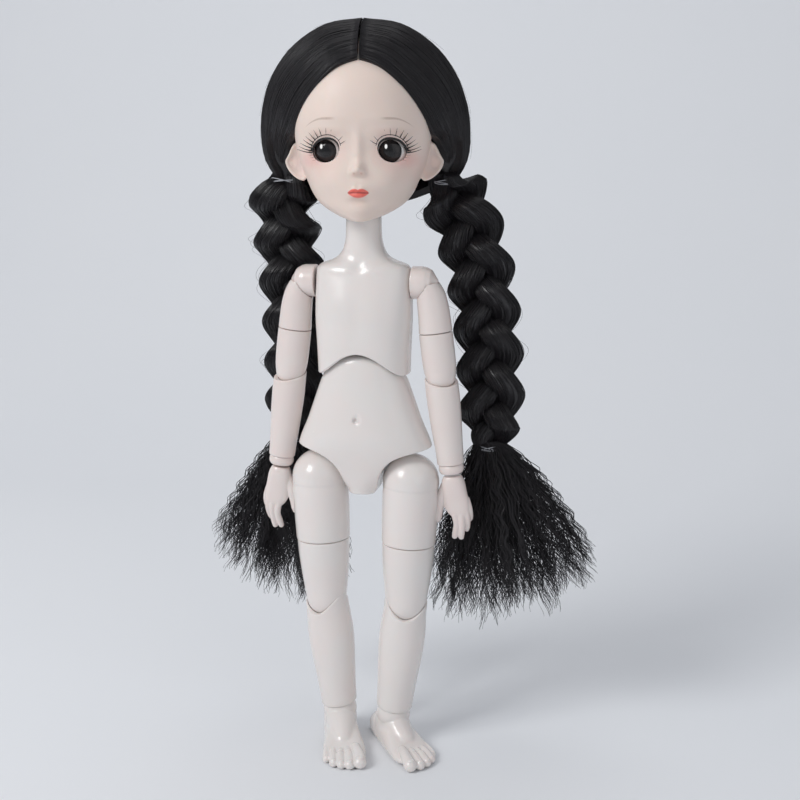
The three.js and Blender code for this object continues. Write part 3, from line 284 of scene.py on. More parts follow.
def cup_over_ball(angle, rim, cup, steps):
    """The hollow in a limb's top, from its rim down to the bottom of the cup."""
    start = math.degrees(math.atan2(math.sqrt(max(cup**2 - rim**2, 1)), -rim))
    return [*swept(angle, ball_arc(cup, start, 6, steps)), [0, 0, -cup]]


def knee_form(girth, top, ball_z, ball_radius):
    """A limb with a ball at its bottom end and a flat, eased top edge."""

    def profile(angle):
        column = [[0, 0, ball_z - ball_radius], *swept(angle, ball_arc(ball_radius, 8, 84, 12), ball_z)]
        column += girth.side(angle, np.linspace(ball_z + 1.5, top - 0.5, 26))
        return [*column, *girth.rim(angle, (top - 0.15, 0.1), (top, 0.45), (top, 3)), [0, 0, top]]

    return profile


def cupped_form(girth, facing, rim_low, rim_rise, cup, bottom, bottom_cup, foot_z):
    """A limb whose top is a cup over a ball and whose bottom edge laps the next ball."""

    def profile(angle):
        turn = angle + math.pi / 2 - facing
        rim = rim_low + rim_rise * math.sin(turn) ** 2
        low = bottom - 0.5 * math.cos(turn)
        reach = math.sqrt(max(bottom_cup**2 - (low - foot_z) ** 2, 1))
        start = math.degrees(math.asin(min(1, reach / bottom_cup)))
        column = [[0, 0, foot_z + bottom_cup], *swept(angle, ball_arc(bottom_cup, 8, start, 7), foot_z, -1)]
        column += girth.rim(angle, (low, 0.5), (low + 0.12, 0.12), (low + 0.5, 0))
        column += girth.side(angle, np.linspace(low + 1.5, rim - 1.2, 30))
        column += girth.rim(angle, (rim - 0.45, 0), (rim - 0.12, 0.12), (rim, 0.4))
        return column + cup_over_ball(angle, rim, cup, 10)

    return profile


HIP, THIGH_TURN, KNEE, ANKLE = 116, 89.5, 63, 12.5
HIP_OUT, KNEE_OUT, ANKLE_OUT = 19.5, 17.3, 11.8
TURN_GAP = 0.15
THIGH_BALL = 11.62
KNEE_BALL, KNEE_CUP = 8.3, 8.55
ANKLE_BALL, ANKLE_CUP = 7.15, 7.4
KNEE_FACES = {"right": 3, "left": 14}
SEAM_FACES = {"right": -24, "left": 12}
FOOT_FACES = {"right": 18, "left": 39}
thigh_lean = math.atan2(HIP_OUT - KNEE_OUT, HIP - KNEE)
shin_lean = math.atan2(KNEE_OUT - ANKLE_OUT, KNEE - ANKLE)
hip_to_turn = (HIP - THIGH_TURN) / math.cos(thigh_lean)
turn_to_knee = (THIGH_TURN - KNEE) / math.cos(thigh_lean)
knee_to_ankle = (KNEE - ANKLE) / math.cos(shin_lean)

thigh_top = Girth([
    (2, 11.5, 11.5, 11.5), (-1.2, 11.62, 11.62, 11.62), (-2.2, 11.45, 11.45, 11.45), (-3.2, 11.5, 11.5, 11.5),
    (-6, 11.7, 11.7, 11.7), (-13, 11.65, 11.7, 11.6), (-20, 11.5, 11.5, 11.3), (-27, 11.25, 11.2, 11.1),
])
thigh_low = Girth([
    (0, 11.0, 11.0, 10.9), (-6, 10.8, 10.5, 10.5), (-13, 10.2, 9.7, 9.6), (-19, 9.5, 8.9, 8.8),
    (-23, 9.0, 8.5, 8.3), (-27, 8.5, 8.3, 8.1),
])
shin = Girth([
    (4, 8.9, 8.7, 8.6), (0, 9.05, 8.75, 8.7), (-4, 9.1, 8.75, 8.9), (-9, 9.5, 8.6, 9.3), (-16, 9.75, 8.5, 10),
    (-25, 9.3, 8.2, 9.6), (-34, 8.5, 7.8, 8.4), (-42, 7.9, 7.4, 7.5), (-48, 7.6, 7.3, 7.3),
])

for side, sign in (("right", -1), ("left", 1)):
    hip = Matrix.Translation((sign * HIP_OUT, 0, HIP)) @ Matrix.Rotation(sign * thigh_lean, 4, "Y")

    def top_profile(angle):
        edge = -hip_to_turn + TURN_GAP
        column = [[0, 0, edge], *thigh_top.rim(angle, (edge, 3), (edge, 0.45), (edge + 0.15, 0.1))]
        column += thigh_top.side(angle, np.linspace(edge + 0.5, -4.2, 22))
        column += thigh_top.side(angle, (-3.6, -3.2, -2.8, -2.4, -2.0, -1.6, -1.2, -0.6, 0.2))
        return [*column, *swept(angle, ball_arc(THIGH_BALL, 96, 172, 16)), [0, 0, THIGH_BALL]]

    form(f"thigh_ball_{side}", *gores(top_profile), hip, body_plastic, f"thigh_top_{side}",
         [f"thigh_upper_{side}"], "body_plastic")
    turn = hip @ Matrix.Translation((0, 0, -hip_to_turn))
    form(f"thigh_lower_shell_{side}", *gores(knee_form(thigh_low, -TURN_GAP, -turn_to_knee, KNEE_BALL)), turn,
         body_plastic, f"thigh_low_{side}", [f"thigh_lower_{side}"], "body_plastic")
    knee = turn @ Matrix.Translation((0, 0, -turn_to_knee)) @ Matrix.Rotation(sign * (shin_lean - thigh_lean), 4, "Y")
    seam = math.radians(SEAM_FACES[side])
    calf = cupped_form(shin, seam, -5.4, 7.0, KNEE_CUP, -knee_to_ankle + 3.5, ANKLE_CUP, -knee_to_ankle)
    form(f"shin_shell_{side}", *gores(calf), knee, body_plastic, f"shin_{side}", [f"shin_{side}"], "body_plastic")

# Pelvis and belly: one hollow moulding in two halves, glued round the sides. Its leg openings are cut high over
# the hips, the thigh balls sit in sockets inside it, and its rounded top goes up into the chest.
class Carving:
    """A closed form that others are cut from or fused to, and that is then softened like worn mould tooling."""

    def __init__(self, points, faces):
        mesh = bpy.data.meshes.new("carving")
        mesh.from_pydata([tuple(p) for p in points], [], faces)
        face_outward(mesh)
        self.piece = bpy.data.objects.new("carving", mesh)
        bpy.context.collection.objects.link(self.piece)

    def settle(self):
        bpy.context.view_layer.update()
        shape = self.piece.evaluated_get(bpy.context.evaluated_depsgraph_get())
        mesh = bpy.data.meshes.new_from_object(shape)
        self.piece.modifiers.clear()
        self.piece.data = mesh
        return self

    def cut(self, *tools, operation="DIFFERENCE"):
        for tool in tools:
            change = self.piece.modifiers.new("cut", "BOOLEAN")
            change.operation = operation
            change.solver = "EXACT"
            change.object = tool.piece
        self.settle()
        for tool in tools:
            bpy.data.objects.remove(tool.piece)
        return self

    def soften(self, grain, rounds=3):
        remesh = self.piece.modifiers.new("cast", "REMESH")
        remesh.mode = "VOXEL"
        remesh.voxel_size = grain
        if rounds:
            smooth = self.piece.modifiers.new("rub", "SMOOTH")
            smooth.factor = 0.5
            smooth.iterations = rounds
        return self.settle()

    def copy(self):
        twin = Carving([], [])
        twin.piece.data = self.piece.data.copy()
        return twin

    def finish(self, name, *place):
        mesh = self.piece.data
        mesh.name = name
        bpy.data.objects.remove(self.piece)
        return fit(name, mesh, *place)


def bar(low, high):
    """A plain block, used only to cut others."""
    points = [(x, y, z) for z in (low[2], high[2]) for y in (low[1], high[1]) for x in (low[0], high[0])]
    return Carving(points, [(0, 2, 3, 1), (4, 5, 7, 6), (0, 1, 5, 4), (2, 6, 7, 3), (0, 4, 6, 2), (1, 3, 7, 5)])


def egg(middle, reach, sides=48, rows=24):
    """The skin of a ball, or of an egg where reach holds three half sizes."""
    reach = (reach,) * 3 if isinstance(reach, (int, float)) else reach

    def profile(angle):
        column = []
        for a in np.linspace(-math.pi / 2, math.pi / 2, rows):
            out, up = math.cos(a), math.sin(a)
            column.append([
                middle[0] + reach[0] * out * math.cos(angle),
                middle[1] + reach[1] * out * math.sin(angle),
                middle[2] + reach[2] * up,
            ])
        return column

    return gores(profile, sides)


def dome(*size):
    return Carving(*egg(*size))


def outline_block(outline, front, back):
    """A block through the doll from front to back, from [x, z] points."""
    count = len(outline)
    points = [(x, y, z) for y in (front, back) for x, z in outline]
    faces = [tuple(range(count)), tuple(range(2 * count - 1, count - 1, -1))]
    faces += [(i, (i + 1) % count, count + (i + 1) % count, count + i) for i in range(count)]
    return Carving(points, faces)


def banded(count, sides):
    """Faces of a closed skin over rings of points, with a flat cap at each end."""
    faces = [tuple(range(sides)), tuple(count - 1 - i for i in range(sides))]
    for first in range(0, count - sides, sides):
        for i in range(sides):
            here, there = first + i, first + (i + 1) % sides
            faces.append((here, here + sides, there + sides, there))
    return faces


def tube(path, reach, sides=14, flat=1.0):
    """A closed round-ended skin along a path of [x, y, z], with a half width at each point of it."""
    path = np.array(path, float)
    reach = np.array(reach, float)
    ahead = np.gradient(path, axis=0)
    ahead /= np.linalg.norm(ahead, axis=1)[:, None]
    across = np.cross(ahead, (0.0, 1.0, 0.05))
    across /= np.linalg.norm(across, axis=1)[:, None]
    over = np.cross(ahead, across)
    tip = [(1 - share, math.sqrt(1 - (1 - share) ** 2) if share else 0.2) for share in (0.0, 0.38, 0.7, 0.92)]
    rings = [(path[0] - ahead[0] * reach[0] * far, across[0], over[0], reach[0] * lift) for far, lift in tip]
    rings += zip(path, across, over, reach)
    for far, lift in reversed(tip):
        rings.append((path[-1] + ahead[-1] * reach[-1] * far, across[-1], over[-1], reach[-1] * lift))
    turns = 2 * np.pi * np.arange(sides) / sides
    points = [p + r * (np.cos(t) * a + np.sin(t) * o * flat) for p, a, o, r in rings for t in turns]
    return points, banded(len(points), sides)


def fused(*shapes):
    """Many closed skins in one form, for soften to melt together."""
    points, faces = [], []
    for some, others in shapes:
        start = len(points)
        points += [tuple(p) for p in some]
        faces += [tuple(start + i for i in face) for face in others]
    return Carving(points, faces)


def skin(girth, heights, sides):
    """A closed form with flat ends, from a Girth at the given heights."""

    def profile(angle):
        column = [girth.point(angle, z) for z in heights]
        lowest, highest = girth.at(heights[0]), girth.at(heights[-1])
        ends = [[lowest[3], -lowest[4], heights[0]], [highest[3], -highest[4], heights[-1]]]
        return [ends[0], *column, ends[1]]

    return gores(profile, sides)


SPLIT = 1.0
WAIST = 157
HIP_SOCKET = 12.15
CROTCH, CROTCH_OUT = 111.3, 5.1
pelvis_girth = Girth([
    (104, 5.2, 8.2, 8.2), (111.4, 6.5, 8.9, 9.2), (115.8, 10, 10.1, 11.8), (122.4, 19.6, 11.7, 14.3),
    (126.8, 26.3, 12.8, 15.1), (129.6, 28.1, 13.4, 15.0), (131.5, 27.9, 13.8, 14.7), (136, 26.3, 14.3, 13.9),
    (141, 24.1, 14.2, 12.7), (146, 22.3, 13.6, 11.7), (152, 20.2, 12.8, 11.0), (156.5, 18.6, 12.3, 10.6),
    (158.6, 17.8, 12.1, 10.2), (159.8, 17.1, 12.0, 9.9), (163, 16.0, 11.8, 9.5), (166, 14.2, 11.4, 8.6),
    (168.2, 11.6, 10.4, 7.2), (169, 9.6, 9.4, 6),
], 2.25)
belly = Carving(*skin(pelvis_girth, np.linspace(104, 169, 90), 96))
opening = between([
    (36, 131.2), (31, 131.0), (27.6, 130.8), (22.5, 129.7), (17.5, 128.4), (13.4, 126.4), (10.4, 123.6),
    (8.4, 120.2), (7.1, 116.6), (6.2, 113.6), (CROTCH_OUT, CROTCH),
], 6)
cutters = [bar((-40, -40, 100), (40, 40, CROTCH))]
for sign in (-1, 1):
    edge = [(sign * x, z) for x, z in opening]
    cutters.append(outline_block([*edge, (sign * CROTCH_OUT, 100), (sign * 36, 100)], -40, 40))
    cutters.append(dome((sign * HIP_OUT, 0, HIP), HIP_SOCKET, 64, 32))
cutters.append(dome((0, -15.4, 144.6), (3.3, 2.0, 4.4), 32, 20))
cutters.append(dome((-0.9, -13.9, 143.2), (0.95, 1.6, 1.25), 24, 16))
belly.cut(*cutters)


def seamed(front, gap):
    """The front and the back half of a moulding, parted along its glued seam."""
    back = front.copy()
    front.cut(bar((-60, -60, 90), (60, SPLIT - gap, 230)), operation="INTERSECT")
    back.cut(bar((-60, SPLIT + gap, 90), (60, 60, 230)), operation="INTERSECT")
    return (front, "front"), (back, "back")


for part, name in seamed(belly, 0.08):
    part.soften(0.36, 4)
    part.finish(f"belly_{name}", Matrix(), body_plastic, "pelvis", [f"pelvis_{name}"], "body_plastic")

# Chest and neck: one hollow moulding in two halves, plain and smooth, with one broad shallow swell at the front.
# Its lower edge arches up in the middle over the belly's dome, and the top of the neck is a dish for the head's ball.
chest_girth = Girth([
    (160, 18.9, 12.5, 11.2), (166, 19.0, 13.0, 11.5), (174, 19.3, 13.8, 11.8), (183, 19.7, 14.3, 12.1),
    (190, 19.7, 13.5, 12.3), (196, 19.65, 12.0, 11.9), (200, 19.55, 10.9, 11.1), (203, 19.3, 10.0, 10.2),
    (204.6, 18.4, 9.4, 9.5), (205.7, 16.7, 8.8, 8.9), (206.7, 13.7, 8.2, 8.3), (208.2, 10.8, 7.6, 7.7),
    (210.5, 8.9, 7.25, 7.3), (213.5, 7.8, 7.0, 7.0), (217, 7.3, 6.85, 6.85), (224.2, 7.2, 6.8, 6.8),
])


def chest_point(angle, z, inset=0.0):
    full = np.interp(z, (160, 200, 206, 211), (2.6, 2.5, 2.2, 2.0))
    x, y, z = chest_girth.point(angle, z, inset, full)
    if y < 0 and not inset:
        collar = 202.6 + 0.09 * abs(x)
        ridge = 0.34 * math.exp(-(((z - collar) / 1.9) ** 2)) * min(1, abs(x) / 5) * (abs(x) < 17)
        notch = 0.7 * math.exp(-((x / 2.6) ** 2) - ((z - 204.6) / 2.2) ** 2)
        middle = 0.25 * math.exp(-((x / 3.0) ** 2)) * math.exp(-(((z - 184) / 11) ** 2))
        y += (notch + middle - ridge) * min(1, -y / 6)
    return [x, y, z]


CHEST_ROOF, CHEST_WALL = 173.6, 1.5


def arch(x):
    return 161 + 9 * math.cos(math.pi / 2 * min(abs(x) / 17.5, 1)) ** 1.3


def chest_profile(angle):
    side = chest_point(angle, 166)
    low = arch(side[0])
    x, y, _ = chest_point(angle, CHEST_ROOF, CHEST_WALL)
    column = [[x * share, y * share, CHEST_ROOF] for share in (0, 0.3, 0.7, 0.93, 0.99)]
    column += [chest_point(angle, z, CHEST_WALL) for z in np.linspace(CHEST_ROOF - 0.8, low + 0.5, 8)]
    column += [chest_point(angle, low + up, inset) for up, inset in ((0.1, 1.2), (0, 0.75), (0.1, 0.25))]
    for start, end, steps in ((low + 0.45, 175, 16), (176.2, 200, 22), (200.5, 213, 28), (214.5, 223.2, 6)):
        column += [chest_point(angle, z) for z in np.linspace(start, end, steps)]
    dish = ((7.1, 223.75), (6.8, 224), (5, 224), (3.3, 224), (2, 223.45), (1, 223.18), (0, 223.1))
    return column + swept(angle, dish)


torso = Carving(*gores(chest_profile, 112))
for part, name in seamed(torso, 0.06):
    part.finish(f"chest_shell_{name}", Matrix(), body_plastic, "chest", [f"chest_{name}"], "body_plastic", 28)

# Waist joint: a plastic ball in the belly with a post up into the chest, hidden inside, so it stays a plain moulding.
def ball_and_post(base, ball, top):
    """A joint's ball, a little taller than it is wide, with the post that it stands on."""
    post = fused(
        tube([(0, 0, base), (0, 0, ball[1])], (ball[0], ball[0]), 32), tube([(0, 0, base), (0, 0, top)], (3, 3), 24),
    )
    return post.soften(0.3, 2)


post = ball_and_post(WAIST, (6.4, WAIST + 0.5), WAIST + 14.8)
joint_plastic = shell_plastic("joint_plastic", (0.66, 0.64, 0.61, 1), (0.70, 0.66, 0.62, 1))
post.finish("waist_post", Matrix(), joint_plastic, "waist_knuckle", ["waist_ball"], "joint_plastic")

# Hip balls and knee pins: hard plastic turned and moulded to the drawn sizes, hidden inside the leg shells.
for side in ("right", "left"):
    for name in (f"hip_knuckle_{side}", f"knee_pin_{side}"):
        bpy.data.objects[name].material_slots[0].material = joint_plastic

# Arms: a round shoulder ball flat against the chest, an upper arm hollowed to ride on it, a turning lower part with
# the elbow's ball, and a forearm with a cup. They are the same glossy plastic, moulded a little pinker.
SHOULDER = (27, 0, 198)
ARM_TURN, ELBOW, WRIST = 20, 37.5, 76
ELBOW_FACES = 40
ELBOW_RADIUS, ELBOW_CUP = 6.1, 6.3
arm_lean = math.radians(7)
arm_plastic = shell_plastic("arm_plastic", (0.80, 0.725, 0.69, 1), (0.81, 0.70, 0.665, 1))

upper_girth = Girth([
    (3.2, 3.7, 5.4, 5.4, -2.3), (0.8, 4.56, 6.0, 6.0, -1.44), (-2.1, 5.34, 6.35, 6.35, -0.66),
    (-5.1, 5.85, 6.55, 6.55, -0.15), (-9.9, 6.3, 6.6, 6.6, 0.15), (-15, 6.55, 6.65, 6.65, 0.15),
    (-19.85, 6.8, 6.65, 6.65, 0),
])
elbow_girth = Girth([
    (0, 6.8, 6.65, 6.65), (-5, 6.85, 6.5, 6.55), (-10, 6.85, 6.2, 6.3), (-14, 6.7, 5.9, 6.1), (-17.5, 6.3, 5.6, 5.8),
])
forearm_girth = Girth([
    (3, 6.55, 6.1, 6.2), (0, 6.65, 6.15, 6.25), (-4, 6.75, 6.2, 6.35), (-10, 6.8, 6.3, 6.5), (-18, 6.5, 6.1, 6.2),
    (-26, 6.0, 5.7, 5.8), (-33, 5.6, 5.45, 5.5), (-37, 5.5, 5.4, 5.4),
])
wrist_girth = Girth([
    (0.9, 4.7, 4.7, 4.7), (0.3, 5.05, 5.0, 5.0), (-0.8, 5.15, 5.1, 5.1), (-1.8, 5.0, 4.95, 4.95),
    (-2.6, 4.5, 4.5, 4.5),
])


def elbow_profile(angle):
    ball_z = ARM_TURN - ELBOW
    column = [[0, 0, ball_z - ELBOW_RADIUS], *swept(angle, ball_arc(ELBOW_RADIUS, 10, 80, 10), ball_z)]
    column += elbow_girth.side(angle, np.linspace(-16.2, -0.8, 22))
    return [*column, *elbow_girth.rim(angle, (-0.3, 0.08), (-TURN_GAP, 0.4), (-TURN_GAP, 3)), [0, 0, -TURN_GAP]]


def forearm_profile(angle, facing):
    rim = -4.3 + 4.6 * (1 - math.cos(angle + math.pi / 2 - facing)) / 2
    edge = -36.8
    column = [[0, 0, edge], *forearm_girth.rim(angle, (edge, 3), (edge, 0.4), (edge + 0.25, 0.08))]
    column += forearm_girth.side(angle, np.linspace(edge + 0.8, rim - 1, 32))
    column += forearm_girth.rim(angle, (rim - 0.35, 0), (rim - 0.08, 0.1), (rim, 0.32))
    return column + cup_over_ball(angle, rim, ELBOW_CUP, 9)


def wrist_profile(angle):
    column = [wrist_girth.point(angle, z) for z in (-2.6, -2.3, -1.8, -1.2, -0.6, 0.0, 0.35, 0.6, 0.8, 0.9)]
    return [[0, 0, -2.6], wrist_girth.point(angle, -2.6, 3), *column, wrist_girth.point(angle, 0.9, 3), [0, 0, 0.9]]


def mirrored(sign):
    """Forms are drawn for the left side. The right one is the same, turned inside out from side to side."""
    return Matrix.Scale(sign, 4, (1, 0, 0))


def arm_hang(sign):
    shoulder = Matrix.Translation((sign * SHOULDER[0], 0, SHOULDER[2]))
    return shoulder @ Matrix.Rotation(-sign * arm_lean, 4, "Y")


SHOULDER_RADIUS, SHOULDER_SOCKET = 6.6, 6.85
RAISED = (0, 13, 26, 38)
for side, sign in (("right", -1), ("left", 1)):
    shoulder = Matrix.Translation((sign * SHOULDER[0], 0, SHOULDER[2]))
    hang = arm_hang(sign)

    root = fused(tube([(-9, 0, 0), (-3.3, 0, 0)], (SHOULDER_RADIUS, SHOULDER_RADIUS), 56))
    root.cut(bar((-30, -20, -20), (-7.15, 20, 20)))
    root.soften(0.25, 2)
    root.finish(f"shoulder_ball_{side}", shoulder @ mirrored(sign), arm_plastic, f"shoulder_{side}",
                [f"shoulder_knuckle_{side}", f"shoulder_pin_{side}"], "arm_plastic")

    cap = Carving(*skin(upper_girth, np.linspace(-19.85, 3.1, 34), 72))
    for raised in RAISED:
        swing = math.radians(raised) + arm_lean
        middle = (-3.3 * math.cos(swing), 0, 3.3 * math.sin(swing))
        far = (-12 * math.cos(swing), 0, 12 * math.sin(swing))
        cap.cut(Carving(*tube([far, middle], (SHOULDER_SOCKET, SHOULDER_SOCKET), 56)))
    cap.soften(0.24, 2)
    cap.finish(f"arm_cap_{side}", hang @ mirrored(sign), arm_plastic, f"arm_top_{side}", [f"upper_arm_{side}"],
               "arm_plastic")

    turn = hang @ Matrix.Translation((0, 0, -ARM_TURN))
    form(f"elbow_ball_{side}", *gores(elbow_profile), turn, arm_plastic, f"arm_low_{side}",
         [f"elbow_arm_{side}", f"elbow_pin_{side}"], "arm_plastic")
    elbow = hang @ Matrix.Translation((0, 0, -ELBOW))
    facing = math.radians(sign * ELBOW_FACES)
    form(f"forearm_shell_{side}", *gores(lambda angle: forearm_profile(angle, facing)), elbow, arm_plastic,
         f"forearm_{side}", [f"forearm_{side}"], "arm_plastic")
    wrist = hang @ Matrix.Translation((0, 0, -WRIST + 0.6))
    form(f"wrist_ball_{side}", *gores(wrist_profile, 48), wrist, arm_plastic, f"wrist_{side}",
         [f"wrist_knuckle_{side}"], "arm_plastic")

# Hands: each is one small moulding that plugs onto the wrist. The back of the hand faces forward, the thumb lies
# along the thigh, and the fingers are slim, close together and a little bent.
PALM = WRIST + 4.5
palm_girth = Girth([
    (1.2, 3.6, 3.2, 3.2), (-0.6, 4.5, 3.8, 3.8), (-3, 5.0, 3.7, 3.7), (-6, 5.15, 3.3, 3.4, 0.1),
    (-9, 5.3, 2.8, 3.0, 0.3), (-12, 5.1, 2.4, 2.5, 0.5), (-14.5, 4.3, 2.0, 2.1, 0.8), (-16, 3.2, 1.5, 1.5, 1.0),
], 2.3)
FINGERS = (
    ([(-3.2, 0.2, -3), (-5.6, 0.1, -7.5), (-7.0, 0.2, -12), (-8.0, 0.4, -15.4), (-8.2, 0.6, -17)],
     (2.2, 2.15, 1.85, 1.8, 1.35)),
    ([(-1.6, 0, -11.5), (-0.7, -0.3, -15.5), (-0.5, 0.2, -19.5), (-1.5, 1.2, -23), (-2.3, 1.9, -25.2)],
     (1.75, 1.5, 1.4, 1.4, 1.2)),
    ([(1.4, 0, -11.5), (1.9, -0.3, -16), (1.6, 0.3, -20.2), (0.8, 1.3, -23.6), (0.4, 2.0, -25.7)],
     (1.8, 1.55, 1.45, 1.4, 1.2)),
    ([(3.6, 0.3, -11), (4.0, 0.3, -15), (3.9, 1.2, -18.6), (3.3, 2.6, -21.4), (2.8, 3.4, -22.9)],
     (1.7, 1.45, 1.35, 1.3, 1.1)),
    ([(4.6, 0.7, -9.5), (5.3, 0.9, -13), (5.3, 1.9, -16), (4.9, 3.1, -18), (4.5, 3.9, -19)],
     (1.5, 1.3, 1.2, 1.15, 0.95)),
)


def finger(path, widths):
    """A finger along its joints, with its half widths at the root, the joints and the tip."""
    path = between(path, 4)
    return tube(path, np.interp(np.arange(len(path)), (0, 5, 9, 13, 16), widths))


for side, sign in (("right", -1), ("left", 1)):
    hand = fused(skin(palm_girth, np.linspace(-16, 1.2, 20), 48), *(finger(*row) for row in FINGERS))
    hand.soften(0.22, 2)
    placed = arm_hang(sign) @ Matrix.Translation((0, 0, -PALM)) @ mirrored(sign)
    hand.finish(f"bare_hand_{side}", placed, arm_plastic, f"hand_{side}", [f"hand_{side}"], "arm_plastic")

# Feet: bare, one moulding each, flat underneath, with a straight inner edge, five toes that step back to the
# little one, faint nails, and a broad ankle ball that fills the edge of the shin.
TOES = (
    (-6.4, 34.3, 2.75), (-2.1, 34.1, 2.15), (1.4, 33.1, 1.95), (4.5, 31.0, 1.8), (7.1, 26.9, 1.65),
)
FOOT_SET_BACK = {"right": 0.0, "left": 3.0}
foot_girth = Girth([
    (-13.9, 2.0, 1.2, 1.4, 0.9, -2.2), (-13.1, 3.9, 2.1, 3.6, 0.8, -2.2), (-10.6, 5.4, 2.3, 6.0, 0.5, -2.2),
    (-5.6, 6.5, 2.3, 9.0, 0.2, -2.2), (0, 7.1, 2.3, 9.8, -0.1, -2.2), (6, 7.6, 2.3, 8.6, -0.3, -2.2),
    (12, 8.2, 2.3, 6.5, -0.5, -2.2), (18, 8.8, 2.3, 4.4, -0.6, -2.2), (23, 9.0, 2.3, 3.0, -0.6, -2.2),
    (26, 8.6, 2.0, 2.2, -0.5, -2.2), (28, 7.6, 1.5, 1.5, -0.4, -2.2),
], 2.4)
for side, sign in (("right", -1), ("left", 1)):
    points, faces = skin(foot_girth, np.linspace(-13.9, 28, 42), 48)
    lying = []
    for x, y, z in points:
        outward = min(1, max(0, (x + 9) / 18))
        lying.append((x, -(z - max(0, z - 12) * 0.3 * outward), y))
    back = FOOT_SET_BACK[side]
    foot = fused(
        (lying, faces),
        tube([(0, -1, 4), (0, -0.2 - back * 0.5, 9), (0, -back, ANKLE)], (7.3, 7.1, 6.9), 40),
        tube([(0, -4, 8.6), (-0.1, -9, 6.6), (-0.3, -15, 4.4)], (6.4, 5.8, 4.4), 32),
    )
    foot.soften(0.5, 9)
    toes = []
    for across, tip, size in TOES:
        high = size * 0.92
        toes.append(tube(
            between([(across * 0.8, -tip + 13, high + 1.6), (across * 0.92, -tip + 8, high + 1.5),
                     (across, -tip + 4.2, high + 0.7), (across, -tip + size * 0.95, high)], 4),
            np.interp(np.arange(13), (0, 4, 8, 12), (size * 0.8, size * 0.9, size * 0.95, size)), 24, 0.92,
        ))
        nail = (across, -tip + size * 0.95, high + size * 0.82), (size * 0.6, size * 0.62, size * 0.24)
        toes.append(egg(*nail, 24, 12))
    foot.cut(fused(*toes[::2]).soften(0.25, 1), operation="UNION")
    foot.cut(fused(*toes[1::2]), operation="UNION")
    foot.cut(dome((0, -back, ANKLE), ANKLE_BALL, 56, 28), operation="UNION")
    foot.soften(0.24, 2)
    foot.cut(bar((-40, -60, -40), (40, 60, 0.02)))
    turn = Matrix.Rotation(math.radians(FOOT_FACES[side]), 4, "Z")
    spot = Matrix.Translation((sign * ANKLE_OUT, 0, 0))
    placed = spot @ turn @ Matrix.Translation((0, back, 0)) @ mirrored(sign)
    foot.finish(f"bare_foot_{side}", placed, body_plastic, f"foot_{side}", [f"foot_{side}"], "body_plastic", 50)
    knuckle = fused(
        tube([(0, 0, -1.5), (0, 0, 3.5)], (2.4, 2.4), 24), tube([(-1.6, 0, 0), (1.6, 0, 0)], (3.3, 3.3), 24),
    )
    knuckle.soften(0.3, 2)
    knuckle.finish(f"ankle_pin_{side}", Matrix.Translation((sign * ANKLE_OUT, 0, ANKLE)) @ turn, joint_plastic,
                   f"ankle_{side}", [f"ankle_knuckle_{side}"], "joint_plastic")

# Head: a soft vinyl shell with a matt peach face, elfin ears, a small nose and full lips, open behind for the eyes.
# The face is one moulding in front of a second shell that carries the rooted hair, and the brows, the lips and the
# blush are sprayed and painted on. It is turned a little to the doll's left.
HEAD_FACES = math.radians(9)
NECK = 229
TURN = Matrix.Rotation(HEAD_FACES, 4, "Z")
EYE_OUT, EYE_UP = 12.4, 249.9
EYEBALL = (11.2, -11.5, 250.1)
EYE_RADIUS, EYE_ROOM = 7.8, 8.15
IRIS = 4.5
SKULL_FULLNESS = 2.15
HEAD_SPLIT = 3.0
skull = Girth([
    (222.9, 1.5, 1.5, 1.5, 0, 18.6), (223.6, 4.6, 5.6, 5.0, 0, 15.6), (225.5, 10.0, 11.8, 15, 0, 9.9),
    (229, 16.0, 18.2, 17, 0, 4.6), (233, 19.6, 22.6, 16.6, 0, 0.9), (238, 22.0, 24.4, 18.6, 0, 0),
    (244, 24.4, 24.0, 21.6, 0, 0), (250, 26.1, 23.8, 24.6, 0, 0), (256, 26.9, 24.8, 26.2, 0, 0),
    (262, 26.9, 26.0, 27, 0, 0), (269.5, 25.2, 25.9, 26.6, 0, 0), (277, 22.0, 23.6, 24.4, 0, 0),
    (284, 17.2, 19.0, 20, 0, 0), (289.5, 11.4, 12.8, 13.6, 0, 0), (293, 4.6, 5.2, 5.6, 0, 0),
    (293.6, 1.5, 1.6, 1.8, 0, 0),
], SKULL_FULLNESS)


